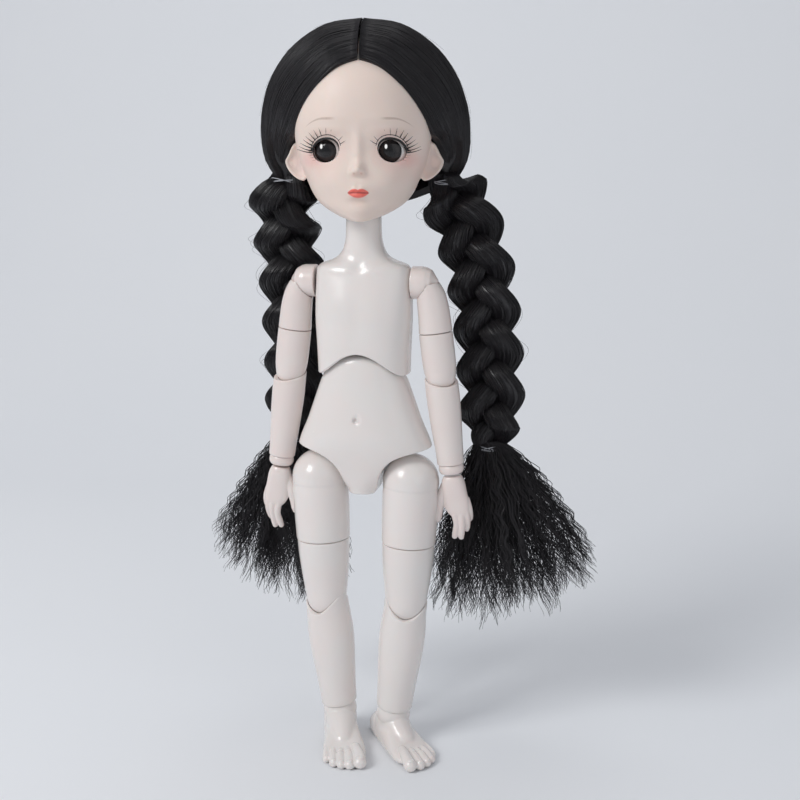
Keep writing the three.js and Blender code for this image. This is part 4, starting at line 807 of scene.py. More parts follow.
def face_bulge(x, z):
    """How far the face stands out over the even egg of the skull."""
    side = abs(x)
    socket = -1.5 * math.exp(-(((side - 12.4) / 6.2) ** 2) - ((z - 250.6) / 5.2) ** 2)
    lid = 0.85 * math.exp(-(((side - 12.5) / 6.4) ** 2) - ((z - 256.6) / 2.0) ** 2)
    cheek = 0.9 * math.exp(-(((side - 13) / 6.5) ** 2) - ((z - 238) / 5.0) ** 2)
    brow = 0.5 * math.exp(-(((side - 11) / 8.0) ** 2) - ((z - 262) / 3.0) ** 2)
    bridge = 1.25 * math.exp(-((side / 2.0) ** 2)) * math.exp(-(((z - 250) / 7.0) ** 2))
    tip = 3.0 * math.exp(-((side / 2.0) ** 2) - ((z - 243.0) / 2.2) ** 2)
    wing = 0.8 * math.exp(-(((side - 2.0) / 1.0) ** 2) - ((z - 242.0) / 1.1) ** 2)
    under = -0.6 * math.exp(-((side / 2.8) ** 2) - ((z - 239.8) / 0.9) ** 2)
    groove = -0.22 * math.exp(-((side / 0.8) ** 2) - ((z - 237.3) / 1.2) ** 2)
    muzzle = 1.0 * math.exp(-((side / 5.5) ** 2) - ((z - 234.6) / 3.2) ** 2)
    bow = 234.95 + 0.75 * math.exp(-(((side - 1.35) / 1.0) ** 2)) - 0.12 * side
    upper = 0.95 * math.exp(-((side / 3.0) ** 4)) * math.exp(-(((z - bow) / 0.75) ** 2))
    lower = 1.15 * math.exp(-((side / 2.5) ** 4)) * math.exp(-(((z - 233.1) / 0.85) ** 2))
    slit = -0.75 * math.exp(-((side / 3.7) ** 6)) * math.exp(-(((z - 234.15 + 0.05 * side) / 0.32) ** 2))
    below = -0.6 * math.exp(-((side / 3.5) ** 2) - ((z - 230.9) / 1.0) ** 2)
    chin = 1.0 * math.exp(-((side / 4.6) ** 2) - ((z - 227.2) / 2.6) ** 2)
    face = socket + lid + cheek + brow + bridge + tip + wing + under + groove + muzzle
    return face + upper + lower + slit + below + chin


def skull_profile(angle):
    column = []
    for z in [*np.linspace(222.9, 229, 14), *np.linspace(229.25, 245, 64), *np.linspace(245.5, 293.6, 84)]:
        x, y, z = skull.point(angle, z)
        if y < -6:
            y -= face_bulge(x, z) * min(1, (-6 - y) / 6)
        column.append([x, y, z])
    low, high = skull.at(222.9), skull.at(293.6)
    return [[0, -low[4], 222.9], *column, [0, -high[4], 293.6]]


EAR_EDGE = (
    (25.9, 253.4), (27.8, 252.6), (29.1, 250.8), (30.0, 248.8), (30.9, 247.2), (31.7, 245.6), (31.2, 243.6),
    (30.2, 241.8), (29.1, 240.6), (28.1, 239.7), (27.0, 238.9), (25.4, 238.2), (23.6, 238.2), (22.4, 240.4),
    (22.0, 244.0), (22.2, 248.0), (23.6, 252.0), (25.9, 253.4),
)
EAR_LEAF = (
    (0.0, 1.5), (0.3, 1.45), (0.55, 1.15), (0.75, 0.5), (0.87, -0.15), (0.95, -0.4), (1.0, 0.0), (1.01, 0.6),
    (0.97, 1.2), (0.85, 1.7), (0.6, 2.4), (0.3, 2.8), (0.0, 2.9),
)


def ear(sign):
    """A thin upright leaf, hollow in front and with a rolled edge, that leans back from the temple."""
    edge = between(EAR_EDGE, 4)[:-1]

    def column(angle):
        x, z = edge[round(angle / (2 * math.pi) * len(edge)) % len(edge)]
        points = []
        for share, deep in EAR_LEAF:
            out, up = 25.4 + (x - 25.4) * share, 245.6 + (z - 245.6) * share
            points.append((sign * out, 0.8 + (out - 24) * 0.3 + deep, up))
        return points

    return gores(column, len(edge))


def eye_rim(turn, grow=0.0):
    """[aside, up] on the almond of an eye opening, whose outer corner hangs a little."""
    c, s = math.cos(turn), math.sin(turn)
    out = (5.7 if c > 0 else 5.2) + grow
    up = (4.6 if s > 0 else 4.55) + grow
    return EYE_OUT + math.copysign(abs(c) ** 0.96, c) * out, EYE_UP + s * up - 0.55 * c


def eye_edge(sign):
    edge = [eye_rim(turn) for turn in np.linspace(0, 2 * np.pi, 60, endpoint=False)]
    edge = [(sign * x, z) for x, z in edge]
    return edge if sign > 0 else edge[::-1]


head_form = fused(gores(skull_profile, 300), ear(-1), ear(1))
head_form.soften(0.4, 2)
rooms = []
for sign in (-1, 1):
    rooms.append(dome((sign * EYEBALL[0], EYEBALL[1], EYEBALL[2]), EYE_ROOM, 64, 32))
    rooms.append(outline_block(eye_edge(sign), -60, EYEBALL[1]))
rooms.append(Carving(*tube([(0, 0, 218), (0, 0, 228)], (8.6, 8.6), 48)))
head_form.cut(*rooms)


def halved(carving, middle, front):
    """One side of a form cut at y = middle, with the cut closed."""
    work = bmesh.new()
    work.from_mesh(carving.piece.data)
    every = work.verts[:] + work.edges[:] + work.faces[:]
    bmesh.ops.bisect_plane(work, geom=every, plane_co=(0, middle, 0), plane_no=(0, 1, 0), clear_outer=front,
                           clear_inner=not front)
    rim = [edge for edge in work.edges if edge.is_boundary]
    bmesh.ops.triangle_fill(work, edges=rim, use_beauty=True)
    part = Carving([], [])
    work.to_mesh(part.piece.data)
    work.free()
    return part


def head_place(finish):
    """The head's own axes in millimetres: aside, ahead and up, whichever way it is turned."""
    spot = finish.place()
    apart = finish.tree.nodes.new("ShaderNodeSeparateXYZ")
    finish.feed(apart.inputs[0], spot)
    x, y, z = (Wire(finish, socket) for socket in apart.outputs)
    x, y = (x - neck[0]) * 1000, (y - neck[1]) * 1000
    c, s = math.cos(HEAD_FACES), math.sin(HEAD_FACES)
    return x * c + y * s, y * c - x * s, z * 1000


def spot_of(finish, x, z, middle, half, edge):
    """A soft-edged oval of paint: 1 inside it and 0 outside it."""
    a, b = (x - middle[0]) / half[0], (z - middle[1]) / half[1]
    far = (a * a + b * b) ** 0.5
    return finish.ramp(far, 1 - edge, 1 + edge, 1.0, 0.0, interpolation_type="SMOOTHSTEP")


def face_vinyl():
    finish = Finish("face_vinyl", Coat_Weight=0.04, Subsurface_Weight=0.18)
    finish.shader.inputs["Subsurface Radius"].default_value = (0.005, 0.0022, 0.0014)
    finish.shader.inputs["Subsurface Scale"].default_value = 0.6
    x, y, z = head_place(finish)
    side = abs(x)
    front = finish.ramp(y, -8.0, -14.0)
    mottle = finish.noise(60, 3)
    skin = finish.blend(mottle, (0.80, 0.665, 0.585, 1), (0.83, 0.70, 0.63, 1))
    # The rose spots are blush on the cheeks, round the eyes and on the ears. The brown shade colour is painted shade:
    # under the nose tip, in the nostrils, under the lower lip and along each upper lid under the brow.
    rose = (0.80, 0.36, 0.34, 1)
    painted_shade = (0.60, 0.40, 0.33, 1)
    for share, colour in (
        (spot_of(finish, side, z, (17.0, 242.5), (6.5, 4.0), 0.9) * 0.10, rose),
        (spot_of(finish, side, z, (18.2, 246.6), (3.6, 2.6), 0.8) * 0.34, rose),
        (spot_of(finish, side, z, (12.5, 249.4), (7.6, 6.8), 0.3) * 0.12, rose),
        (spot_of(finish, side, z, (12.6, 256.4), (6.2, 1.7), 0.7) * 0.28, painted_shade),
        (spot_of(finish, side, z, (0.0, 241.0), (2.4, 0.8), 0.8) * 0.30, painted_shade),
        (spot_of(finish, side, z, (1.4, 241.3), (0.45, 0.35), 0.6) * 0.55, painted_shade),
        (spot_of(finish, side, z, (0.0, 230.9), (3.4, 1.1), 0.9) * 0.22, painted_shade),
        (spot_of(finish, side, z, (25.5, 245.0), (4.5, 5.5), 0.9) * 0.14, rose),
    ):
        skin = finish.blend(share * front if colour is not rose else share, skin, colour)
    bow = side - 1.5
    upper_edge = 235.75 - bow * bow * 0.2 - side * 0.05
    lower_edge = 232.05 + (side / 3.9) ** 2 * 1.6
    lip = finish.ramp(upper_edge - z, -0.12, 0.22)
    lip = lip * finish.ramp(z - lower_edge, -0.15, 0.35)
    lip = lip * finish.ramp(4.3 - side, -0.1, 0.5) * front
    # Painted shade: the crease between the lips is darkened to a deep red.
    gap = abs(z - 234.2 + side * 0.05)
    gap = finish.ramp(gap, 0.1, 0.5, 1.0, 0.0)
    coral = finish.blend(finish.noise(700, 2), (0.86, 0.115, 0.085, 1), (0.90, 0.17, 0.13, 1))
    coral = finish.blend(gap * 0.75, coral, (0.36, 0.025, 0.02, 1))
    skin = finish.blend(lip * 0.94, skin, coral)
    fall = (side - 13.0).at_least(0.0)
    arch = 261.6 - fall * fall * 0.052
    hairs = finish.noise(2600, 1)
    off = abs(z - arch)
    thick = finish.ramp(side, 20.5, 12.0, 0.12, 0.45)
    brow = finish.ramp(off / thick, 1.4, 0.5)
    ends = finish.ramp(side, 8.2, 11.0)
    ends = ends * finish.ramp(side, 21.2, 19.0)
    brow = brow * ends * front * (0.3 + hairs * 0.7)
    skin = finish.blend(brow.at_most(1.0) * 0.6, skin, (0.30, 0.17, 0.12, 1))
    finish.paint(
        Base_Color=skin,
        Roughness=0.52 - lip * 0.2 + mottle * 0.06,
        Normal=finish.bump(finish.noise(1500, 3), 0.12, 0.0002),
    )
    return finish.material


vinyl = face_vinyl()
for part, name, node in ((halved(head_form, HEAD_SPLIT, True), "face", "face_shell"),
                         (halved(head_form, HEAD_SPLIT + 0.1, False), "scalp", "head_back")):
    part.finish(f"{name}_moulding", TURN, vinyl, "head", [node], "face_vinyl", 50)
bpy.data.objects.remove(head_form.piece)
post = ball_and_post(NECK, (5.5, NECK + 0.4), NECK + 11.5)
post.finish("neck_post", TURN, joint_plastic, "neck_knuckle", ["neck_ball"], "joint_plastic")

# Eyes: glossy acrylic balls set from behind, each with a white rim, a dark brown-grey iris and a black pupil.
for side, sign in (("right", -1), ("left", 1)):
    finish = Finish(f"eye_gloss_{side}", Coat_Weight=0.35, Coat_Roughness=0.02, Roughness=0.16, Specular_IOR_Level=0.2)
    x, y, z = head_place(finish)
    aside, up = x - (sign * EYE_OUT - 0.65), z - (EYE_UP - 0.35)
    far = (aside * aside + up * up) ** 0.5
    turn = finish.node("Math", {"operation": "ARCTAN2"}, {0: up, 1: aside})
    spokes = finish.node("CombineXYZ", {}, {0: turn * 4.0, 1: far * 0.5, 2: 0.0})
    rays = finish.noise(3, 4, spokes)
    iris = finish.node("ValToRGB", {"stops": [
        (0.0, (0.008, 0.008, 0.009)), (0.40, (0.010, 0.010, 0.011)), (0.50, (0.017, 0.015, 0.016)),
        (0.66, (0.030, 0.026, 0.026)), (0.80, (0.018, 0.016, 0.017)), (0.9, (0.008, 0.008, 0.009)),
        (1.0, (0.006, 0.006, 0.007)),
    ]}, {"Fac": far / IRIS + (rays - 0.5) * 0.16})
    white = finish.blend(finish.noise(400, 2), (0.80, 0.78, 0.77, 1), (0.84, 0.82, 0.80, 1))
    rim = finish.ramp(far, IRIS - 0.25, IRIS + 0.05)
    # Painted highlight: a small upright white glint at the upper left of each iris, fed to the emission so that it
    # glows.
    painted_glint = spot_of(finish, aside, up, (-1.5, 1.75), (0.5, 0.85), 0.25)
    colour = finish.blend(rim, iris, white)
    finish.paint(Base_Color=colour, Roughness=0.12 + rays * 0.05,
                 Emission_Color=finish.blend(painted_glint, (0, 0, 0, 1), (1, 1, 1, 1)))
    finish.shader.inputs["Emission Strength"].default_value = 0.9
    ball = dome((sign * EYEBALL[0], EYEBALL[1], EYEBALL[2]), EYE_RADIUS, 96, 48)
    ball.finish(f"eyeball_{side}", TURN, finish.material, "head", [f"eye_{side}"], "eye_gloss")

# Upper and lower lashes: fine black fibres glued under the edge of each lid, longest at the outer corner.
def face_front(x, z):
    """The point of the face straight in front of [x, z]."""
    width, front, _, _, ahead = skull.at(z)
    c = min(abs(x) / width, 0.999) ** (SKULL_FULLNESS / 2)
    y = -front * math.sqrt(1 - c * c) ** (2 / SKULL_FULLNESS) - ahead
    return y - (face_bulge(x, z) if y < -6 else 0)


def fibres(name, paths, reach, material, body, slot, matrix=Matrix(), sides=3, nodes=()):
    """Many round fibres in one mesh: paths is [fibre, point, xyz] and reach is [fibre, point]."""
    paths = np.asarray(paths, float)
    reach = np.broadcast_to(np.asarray(reach, float), paths.shape[:2])
    ahead = np.gradient(paths, axis=1)
    ahead /= np.linalg.norm(ahead, axis=2)[..., None] + 1e-9
    across = np.cross(ahead, (0.31, 0.92, 0.24))
    across /= np.linalg.norm(across, axis=2)[..., None] + 1e-9
    over = np.cross(ahead, across)
    turns = 2 * np.pi * np.arange(sides) / sides
    ring = np.cos(turns)[:, None] * across[..., None, :] + np.sin(turns)[:, None] * over[..., None, :]
    points = paths[..., None, :] + ring * reach[..., None, None]
    count, steps = paths.shape[:2]
    index = np.arange(count * steps * sides).reshape(count, steps, sides)
    a, b = index[:, :-1], index[:, 1:]
    quads = np.stack([a, np.roll(a, -1, 2), np.roll(b, -1, 2), b], -1).reshape(-1, 4)
    mesh = bpy.data.meshes.new(name)
    flat = points.reshape(-1, 3)
    mesh.vertices.add(len(flat))
    mesh.vertices.foreach_set("co", flat.ravel())
    ends = np.concatenate([index[:, 0], index[:, -1, ::-1]])
    mesh.loops.add(quads.size + ends.size)
    mesh.loops.foreach_set("vertex_index", np.concatenate([quads.ravel(), ends.ravel()]))
    sizes = np.concatenate([np.full(len(quads), 4), np.full(len(ends), sides)])
    mesh.polygons.add(len(sizes))
    mesh.polygons.foreach_set("loop_start", np.concatenate([[0], np.cumsum(sizes)[:-1]]))
    mesh.update(calc_edges=True)
    return fit(name, mesh, matrix, material, body, nodes, slot, None)


def through(points, steps):
    """A smooth path of equal steps through some points."""
    rows = between(points, 10)
    along = np.concatenate([[0], np.cumsum(np.linalg.norm(np.diff(rows, axis=0), axis=1))])
    wanted = np.linspace(0, along[-1], steps)
    return np.stack([np.interp(wanted, along, rows[:, k]) for k in range(3)], -1)


lash_fibre = Finish("lash_fibre", Roughness=0.4)
lash_tone = lash_fibre.noise(900, 2)
lash_fibre.paint(Base_Color=lash_fibre.blend(lash_tone, (0.006, 0.005, 0.005, 1), (0.014, 0.011, 0.01, 1)))
ALONG_LASH = np.linspace(0, 1, 8)
LID_STEPS = 48
LASHES = (
    (-4, 6.2), (4, 5.4), (15, 4.8), (26, 4.2), (38, 3.7), (50, 3.5), (63, 3.2), (77, 3.0), (92, 2.6), (107, 2.3),
    (124, 2.0), (144, 2.4), (160, 2.9),
)
for side, sign in (("right", -1), ("left", 1)):
    paths, reach = [], []
    for turn, length in LASHES:
        c, s = math.cos(math.radians(turn)), math.sin(math.radians(turn))
        x, z = eye_rim(math.radians(turn), 0.25 + 0.7 * max(0, s))
        root = np.array([sign * x, face_front(x, z) + 0.1, z])
        fan = np.array([sign * (c * 1.1 + 0.08), -0.6, s * 0.8 + 0.08])
        fan /= np.linalg.norm(fan)
        lean = random.uniform(-0.12, 0.12)
        steps = []
        for t in ALONG_LASH:
            curl = np.array([sign * lean * t * length * 0.5, -0.2 * t * t * length * 0.2, t * t * length * 0.2])
            steps.append(root + fan * length * t + curl)
        paths.append(steps)
        reach.append((0.16 + 0.12 * max(0, c)) * (1 - 0.85 * ALONG_LASH ** 1.1))
    for turn in np.radians([-16, -28, -42]):
        c, s = math.cos(turn), math.sin(turn)
        x, z = eye_rim(turn)
        root = np.array([sign * x, face_front(x, z), z])
        fan = np.array([sign * (c + 0.2), -0.55, s * 0.8])
        length = random.uniform(1.2, 1.8)
        paths.append([root + fan * length * t + np.array([0, 0, 0.25 * length * t * t]) for t in ALONG_LASH])
        reach.append(0.06 * (1 - 0.7 * ALONG_LASH))
    fibres(f"lashes_{side}", paths, reach, lash_fibre.material, "head", "lash_fibre", TURN, 5, [f"eyelashes_{side}"])
    for name, low, high, grow, thick, deep in (
        ("lid_line", -10, 190, -0.12, 0.62, 0.2), ("lash_strip", 2, 168, 0.5, 0.09, 0.0),
    ):
        line = []
        for turn in np.radians(np.linspace(low, high, LID_STEPS)):
            x, z = eye_rim(turn, grow + (0.6 * max(0, math.sin(turn)) if grow > 0 else 0))
            line.append([sign * x, face_front(x, z) + deep, z])
        across = np.linspace(0, math.pi, LID_STEPS)
        lines = [line]
        heavy = 0.8 + 0.4 * np.exp(-(((across - 0.35) / 0.3) ** 2))
        reach = [0.08 + thick * np.maximum(np.sin(across), 0) ** 0.6 * heavy]
        if grow < 0:
            wedge = np.linspace(0, 1, LID_STEPS)
            inner_x, inner_z = eye_rim(math.radians(24), -0.35)
            corner = [(inner_x + (EYE_OUT + 7.3 - inner_x) * k, inner_z + (EYE_UP - 0.7 - inner_z) * k) for k in wedge]
            lines.append([[sign * x, face_front(x, z) + 0.12, z] for x, z in corner])
            reach.append(0.5 - 0.42 * wedge)
        fibres(f"{name}_{side}", lines, reach, lash_fibre.material, "head", "lash_fibre", TURN, 8)

# Hair on the head: long straight black fibre rooted along a centre parting and combed down over the ears to a
# tie at each side. A close layer underneath keeps it dark, and single fibres lie over it.
COMBED = [
    [(0.4, -21.0, 284.2), (8, -21.2, 281.2), (14.6, -20.0, 275.6), (20.3, -16.9, 269), (24.6, -12.3, 262.2),
     (27.4, -6.3, 256.6), (30.4, 1.2, 253.4), (33.6, 8.4, 246), (33.3, 12, 240), (33, 12.6, 236.5)],
    [(0.4, -18.6, 290.5), (11, -18.8, 287.5), (20, -17, 281), (27, -13.2, 273.5), (31.6, -8.6, 266),
     (34.2, -3.0, 259.6), (36.2, 3.0, 253.5), (36.6, 8.2, 246.6), (35.2, 11, 240.6), (34.6, 12, 236.5)],
    [(0.4, -11, 296.6), (14, -12, 293.6), (25.5, -11, 285.6), (33.3, -7.4, 276), (37.6, -2.6, 266.6),
     (39.5, 1.6, 258), (39.9, 5.2, 251), (39.1, 8.8, 245), (36.8, 11.2, 240.4), (35.6, 12, 236.5)],
    [(0.4, 3, 300.2), (15, 3.6, 297.8), (28, 5, 289.6), (36.4, 7, 278.6), (40.6, 9, 267),
     (41.7, 10.4, 257), (41.4, 11.8, 249.6), (39.8, 12.8, 244), (37.3, 13.2, 240), (36, 13.2, 236.5)],
    [(0.4, 18, 296.8), (13.4, 19.6, 294), (25, 21.8, 285.6), (32.8, 23.6, 274.6), (36.6, 24, 263.4),
     (37.6, 23, 254), (37.2, 20.8, 247.4), (36.2, 18.2, 242.8), (35, 15.8, 239.6), (34.6, 14.4, 236.5)],
    [(0.4, 29.6, 283), (9, 31, 279.6), (18, 31.8, 272.6), (25.6, 31.4, 264.4), (30.6, 29.4, 256.6),
     (33.2, 26.4, 250.4), (34.2, 23, 245.6), (34.2, 19.6, 241.8), (33.6, 16.8, 239), (33.2, 15, 236.5)],
    [(0.4, 33.4, 262), (7, 34.4, 259.4), (14, 34.4, 255.6), (20.4, 33, 251.6), (25.6, 30.4, 248),
     (29.2, 27, 245), (31.2, 23.4, 242), (32, 20, 239.8), (32, 17.2, 238), (32, 15.2, 236.5)],
    [(0.5, 29, 243), (6, 30, 242.4), (12, 30, 241.6), (17.6, 28.8, 240.8), (22.4, 26.6, 240),
     (26.2, 23.8, 239.2), (28.8, 21, 238.6), (30.2, 18.4, 238), (30.9, 16, 237.2), (31, 14.6, 236.5)],
    [(0.5, 19.4, 227.6), (5.6, 20.8, 227.8), (11, 21.4, 228.4), (16, 21.2, 229.4), (20.6, 20.2, 230.8),
     (24.4, 18.8, 232.2), (27.0, 17.2, 233.4), (28.8, 15.6, 234.6), (29.8, 14.2, 235.6), (30.2, 13.2, 236.2)],
]


def combed_grid(steps_over, steps_down):
    """The combed surface of one side, [over, down, xyz], from the forehead round to the nape."""
    down = np.stack([through(row, steps_down) for row in COMBED])
    over = np.stack([between(down[:, k], steps_over) for k in range(steps_down)], 1)
    return over


def hair_fibre(name):
    finish = Finish(name, Roughness=0.34, Specular_IOR_Level=0.5, Anisotropic=0.5)
    tone = finish.noise(260, 3)
    finish.paint(
        Base_Color=finish.blend(tone, (0.006, 0.006, 0.008, 1), (0.017, 0.014, 0.016, 1)),
        Roughness=0.27 + tone * 0.16,
        Normal=finish.bump(finish.noise(1800, 2), 0.15, 0.0002),
    )
    return finish.material


hair = hair_fibre("hair_fibre")
grid = combed_grid(14, 60)
centre = np.array([0, 4.0, 258.0])


def on_comb(u, t, lift):
    """Points of the combed surface at shares u over it and t down it, lifted from the head's middle."""
    rows, columns = grid.shape[:2]
    a, b = np.clip(u, 0, 1) * (rows - 1), np.clip(t, 0, 1) * (columns - 1)
    i, j = np.minimum(a.astype(int), rows - 2), np.minimum(b.astype(int), columns - 2)
    p, q = (a - i)[..., None], (b - j)[..., None]
    near = grid[i, j] * (1 - p) + grid[i + 1, j] * p
    far = grid[i, j + 1] * (1 - p) + grid[i + 1, j + 1] * p
    spot = near * (1 - q) + far * q
    away = spot - centre
    away /= np.linalg.norm(away, axis=-1)[..., None]
    return spot + away * lift[..., None]


chance = np.random.default_rng(11)


def each(count, low, high):
    """One even random number for each fibre."""
    return chance.uniform(low, high, (count, 1))


for side, sign in (("right", -1), ("left", 1)):
    matrix = TURN @ mirrored(sign)
    rows, columns = grid.shape[:2]
    away = grid - centre
    away /= np.linalg.norm(away, axis=2)[..., None]
    outer = grid - away * 0.45
    inner = grid - away * 3.2
    points = np.concatenate([outer.reshape(-1, 3), inner.reshape(-1, 3)])
    number = np.arange(rows * columns).reshape(rows, columns)
    below = number + rows * columns
    faces = [(number[i, j], number[i, j + 1], number[i + 1, j + 1], number[i + 1, j])
             for i in range(rows - 1) for j in range(columns - 1)]
    faces += [(below[i, j], below[i + 1, j], below[i + 1, j + 1], below[i, j + 1])
              for i in range(rows - 1) for j in range(columns - 1)]
    ring = [(i, 0) for i in range(rows)] + [(rows - 1, j) for j in range(1, columns)]
    ring += [(i, columns - 1) for i in range(rows - 2, -1, -1)] + [(0, j) for j in range(columns - 2, 0, -1)]
    for (i, j), (m, n) in zip(ring, ring[1:] + ring[:1]):
        faces.append((number[i, j], number[m, n], below[m, n], below[i, j]))
    faces = [tuple(int(v) for v in face) for face in faces]
    form(f"hair_layer_{side}", points, faces, matrix, hair, "head", [f"hair_{side}"], "hair_fibre", 60)
    count, steps = 1500, 26
    t = np.linspace(0, 1, steps)[None, :]
    u = chance.random(count)[:, None]
    drift = chance.normal(0, 0.006, (count, 1)) * np.sin(math.pi * t * each(count, 0.7, 1.6))
    tucked = each(count, 0, 0.35) * (chance.random((count, 1)) < 0.2)
    lift = each(count, -0.35, 0.2) + 0.12 * np.sin(9 * t + each(count, 0, 6))
    lift = lift * np.minimum(1, t * 12 + 0.2)
    paths = on_comb(u + drift, tucked + (1 - tucked) * t, lift)
    reach = each(count, 0.11, 0.2) * np.ones((1, steps))
    fibres(f"combed_{side}", paths, reach, hair, "head", "hair_fibre", matrix)
    count, steps = 70, 20
    t = np.linspace(0, 1, steps)[None, :]
    u = chance.random(count)[:, None] ** 0.8
    start = each(count, 0, 0.6)
    span = each(count, 0.15, 0.4)
    loose = each(count, 0.2, 1.5) * t ** 1.5
    u = u + chance.normal(0, 0.03, (count, 1)) * t * t
    paths = on_comb(u, start + span * t, loose)
    fibres(f"flyaway_{side}", paths, 0.035, hair, "head", "hair_fibre", matrix)

# Braids: the gathered hair of each side plaited loosely in three, hanging behind the shoulders to a second tie.
# They are limp, but here they are on no body, so they follow neither the head nor the neck.
ROUTES = {
    "right": [(-33.4, 9.4, 241), (-34.6, 8.6, 236.5), (-36.2, 9.3, 232), (-37.4, 14.8, 221), (-37.2, 19, 208),
              (-36, 20, 190), (-35, 19.5, 165), (-35, 19.1, 145), (-36, 18.6, 127.5)],
    "left": [(31, 15.2, 241), (31, 17.2, 236.5), (33, 18.4, 232), (38, 18.9, 221), (42.2, 19.5, 208),
             (46, 20, 190), (48.6, 19.5, 165), (49.6, 19.1, 145), (49, 18.6, 127.5)],
}


def along(side, steps):
    rows = through(ROUTES[side], steps)
    ahead = np.gradient(rows, axis=0)
    ahead /= np.linalg.norm(ahead, axis=1)[:, None]
    return rows, ahead


STRAND = np.array((7.6, 5.2))
CROSSINGS = 2.25


def plait_lines(side, k, t, swell, offset):
    """Points of fibres of strand k at shares t down the braid, offset [aside, deep] in the strand's own section."""
    rows, ahead = along(side, 240)
    place = t * (len(rows) - 1)
    i = np.minimum(place.astype(int), len(rows) - 2)
    p = (place - i)[..., None]
    spot = rows[i] * (1 - p) + rows[i + 1] * p
    way = ahead[i]
    across = np.cross(way, (0.0, 1.0, 0.0))
    across /= np.linalg.norm(across, axis=-1)[..., None]
    deep = np.cross(way, across)
    phase = 2 * math.pi * (t * CROSSINGS + k / 3 + 0.11)
    aside = 7.2 * np.sin(phase) * swell
    depth = 3.9 * np.sin(2 * phase) * swell
    tilt = 0.55 * np.cos(phase)
    across_strand, through_strand = offset[..., 0], offset[..., 1]
    a = aside + (across_strand * np.cos(tilt) - through_strand * 0.2 * np.sin(tilt)) * swell
    b = depth + (through_strand * np.cos(tilt) + across_strand * 0.2 * np.sin(tilt)) * swell
    return spot + across * a[..., None] + deep * b[..., None]


def hang_limp(piece, side):
    """Bakes the piece's placing into its mesh. The piece stays on no body, so it follows neither the head nor the neck.
    """
    start, end = (tuple(STAND @ Vector(ROUTES[side][row])) for row in (0, 5))
    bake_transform(piece)
    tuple(start)
    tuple(end)


def braid_swell(t):
    return np.minimum(np.minimum(0.4 + t * 7.0, 1.0), 0.44 + (1 - t) * 6.5) * (1 - 0.08 * t)


CORE_SIDES, CORE_SHARE = 24, 0.93
for side in ("right", "left"):
    steps = 96
    t = np.linspace(0, 1, steps)[None, :]
    swell = braid_swell(t)
    paths, reach = [], []
    for k in range(3):
        ring = np.linspace(0, 2 * math.pi, CORE_SIDES, endpoint=False)
        skin_at = np.stack([np.cos(ring), np.sin(ring)], -1)[:, None, :] * STRAND * np.ones((1, steps, 1))
        columns = plait_lines(
            side, k, np.repeat(t, CORE_SIDES, 0), np.repeat(swell, CORE_SIDES, 0), skin_at * CORE_SHARE,
        )
        points = columns.transpose(1, 0, 2).reshape(-1, 3)
        drawn = [f"braid_{side}"] if k == 0 else []
        core = form(f"plait_core_{side}_{k + 1}", points, banded(len(points), CORE_SIDES), Matrix(), hair, None, drawn,
                    "hair_fibre", 60)
        hang_limp(core, side)
        count = 150
        turn = each(count, 0, 2 * math.pi) + 0.5 * np.sin(3 * t + each(count, 0, 6))
        out = each(count, 0.93, 1.04) + 0.035 * np.sin(14 * t + each(count, 0, 6))
        offset = np.stack([out * np.cos(turn), out * np.sin(turn)], -1) * STRAND
        lines = plait_lines(side, k, np.repeat(t, count, 0), np.repeat(swell, count, 0), offset)
        paths.append(lines)
        reach.append(each(count, 0.1, 0.19) * np.ones((1, steps)))
    for k in range(3):
        count = 26
        share = each(count, 0, 0.8) + each(count, 0.05, 0.16) * t
        out = 1.02 + each(count, 0.1, 0.55) * np.sin(math.pi * t) ** 1.5
        turn = each(count, 0, 2 * math.pi) + chance.normal(0, 0.6, (count, 1)) * t
        offset = np.stack([out * np.cos(turn), out * np.sin(turn)], -1) * STRAND
        paths.append(plait_lines(side, k, share, braid_swell(share), offset))
        reach.append(0.06 * np.ones((count, steps)))
    lines = fibres(f"plait_{side}", np.concatenate(paths), np.concatenate(reach), hair, None, "hair_fibre")
    hang_limp(lines, side)

# Tassels: the loose ends below the lower ties, left long, crinkled and frayed, spreading outwards in thin locks.
for side, sign, inner, outer, length in (("right", -1, 24, 38, 78), ("left", 1, 27, 45, 82)):
    locks, count, steps = 120, 1300, 38
    end = np.array(ROUTES[side][-1])
    t = np.linspace(0, 1, steps)[None, :]
    lock = chance.integers(0, locks, count)
    lie = (chance.beta(1.35, 1.3, locks) * (inner + outer) - inner)[lock][:, None]
    deep = chance.normal(0, 3.2, locks)[lock][:, None] + chance.normal(0, 0.9, (count, 1))
    drop = length * chance.uniform(0.72, 1.0, locks)[lock][:, None] * each(count, 0.86, 1.0)
    drop = drop * (1 - 0.3 * (lie / outer) ** 2)
    beat = chance.uniform(4.2, 6.8, locks)[lock][:, None]
    phase = chance.uniform(0, 6.28, locks)[lock][:, None] + chance.normal(0, 0.45, (count, 1))
    wave = chance.uniform(0.6, 1.5, locks)[lock][:, None] * np.minimum(t * 3.5, 1)
    apart = chance.normal(0, 1.5, (count, 1)) * (1 - 0.45 * t) + chance.normal(0, 1.0, (count, 1)) * t ** 3
    flare = 0.45 * t + 0.55 * t ** 0.6
    root = each(count, 0, 2 * math.pi)
    x = end[0] + 4.0 * np.cos(root) * (1 - t) + sign * lie * flare + apart * np.minimum(t * 4, 1)
    x = x + wave * np.sin(beat * 6.28 * t + phase)
    y = end[1] + 3.8 * np.sin(root) * (1 - t) + deep * np.sin(math.pi * np.minimum(t * 0.75, 0.62)) * 1.25
    y = y + wave * 0.6 * np.cos(beat * 6.28 * t + phase * 1.7)
    z = end[2] + 3 - (drop + 3) * t
    paths = np.stack([x, y, z], -1)
    reach = each(count, 0.11, 0.2) * (1 - 0.55 * t ** 3)
    loose = fibres(f"frayed_{side}", paths, reach, hair, "neck_knuckle", "hair_fibre")
    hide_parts(f"tassel_{side}")

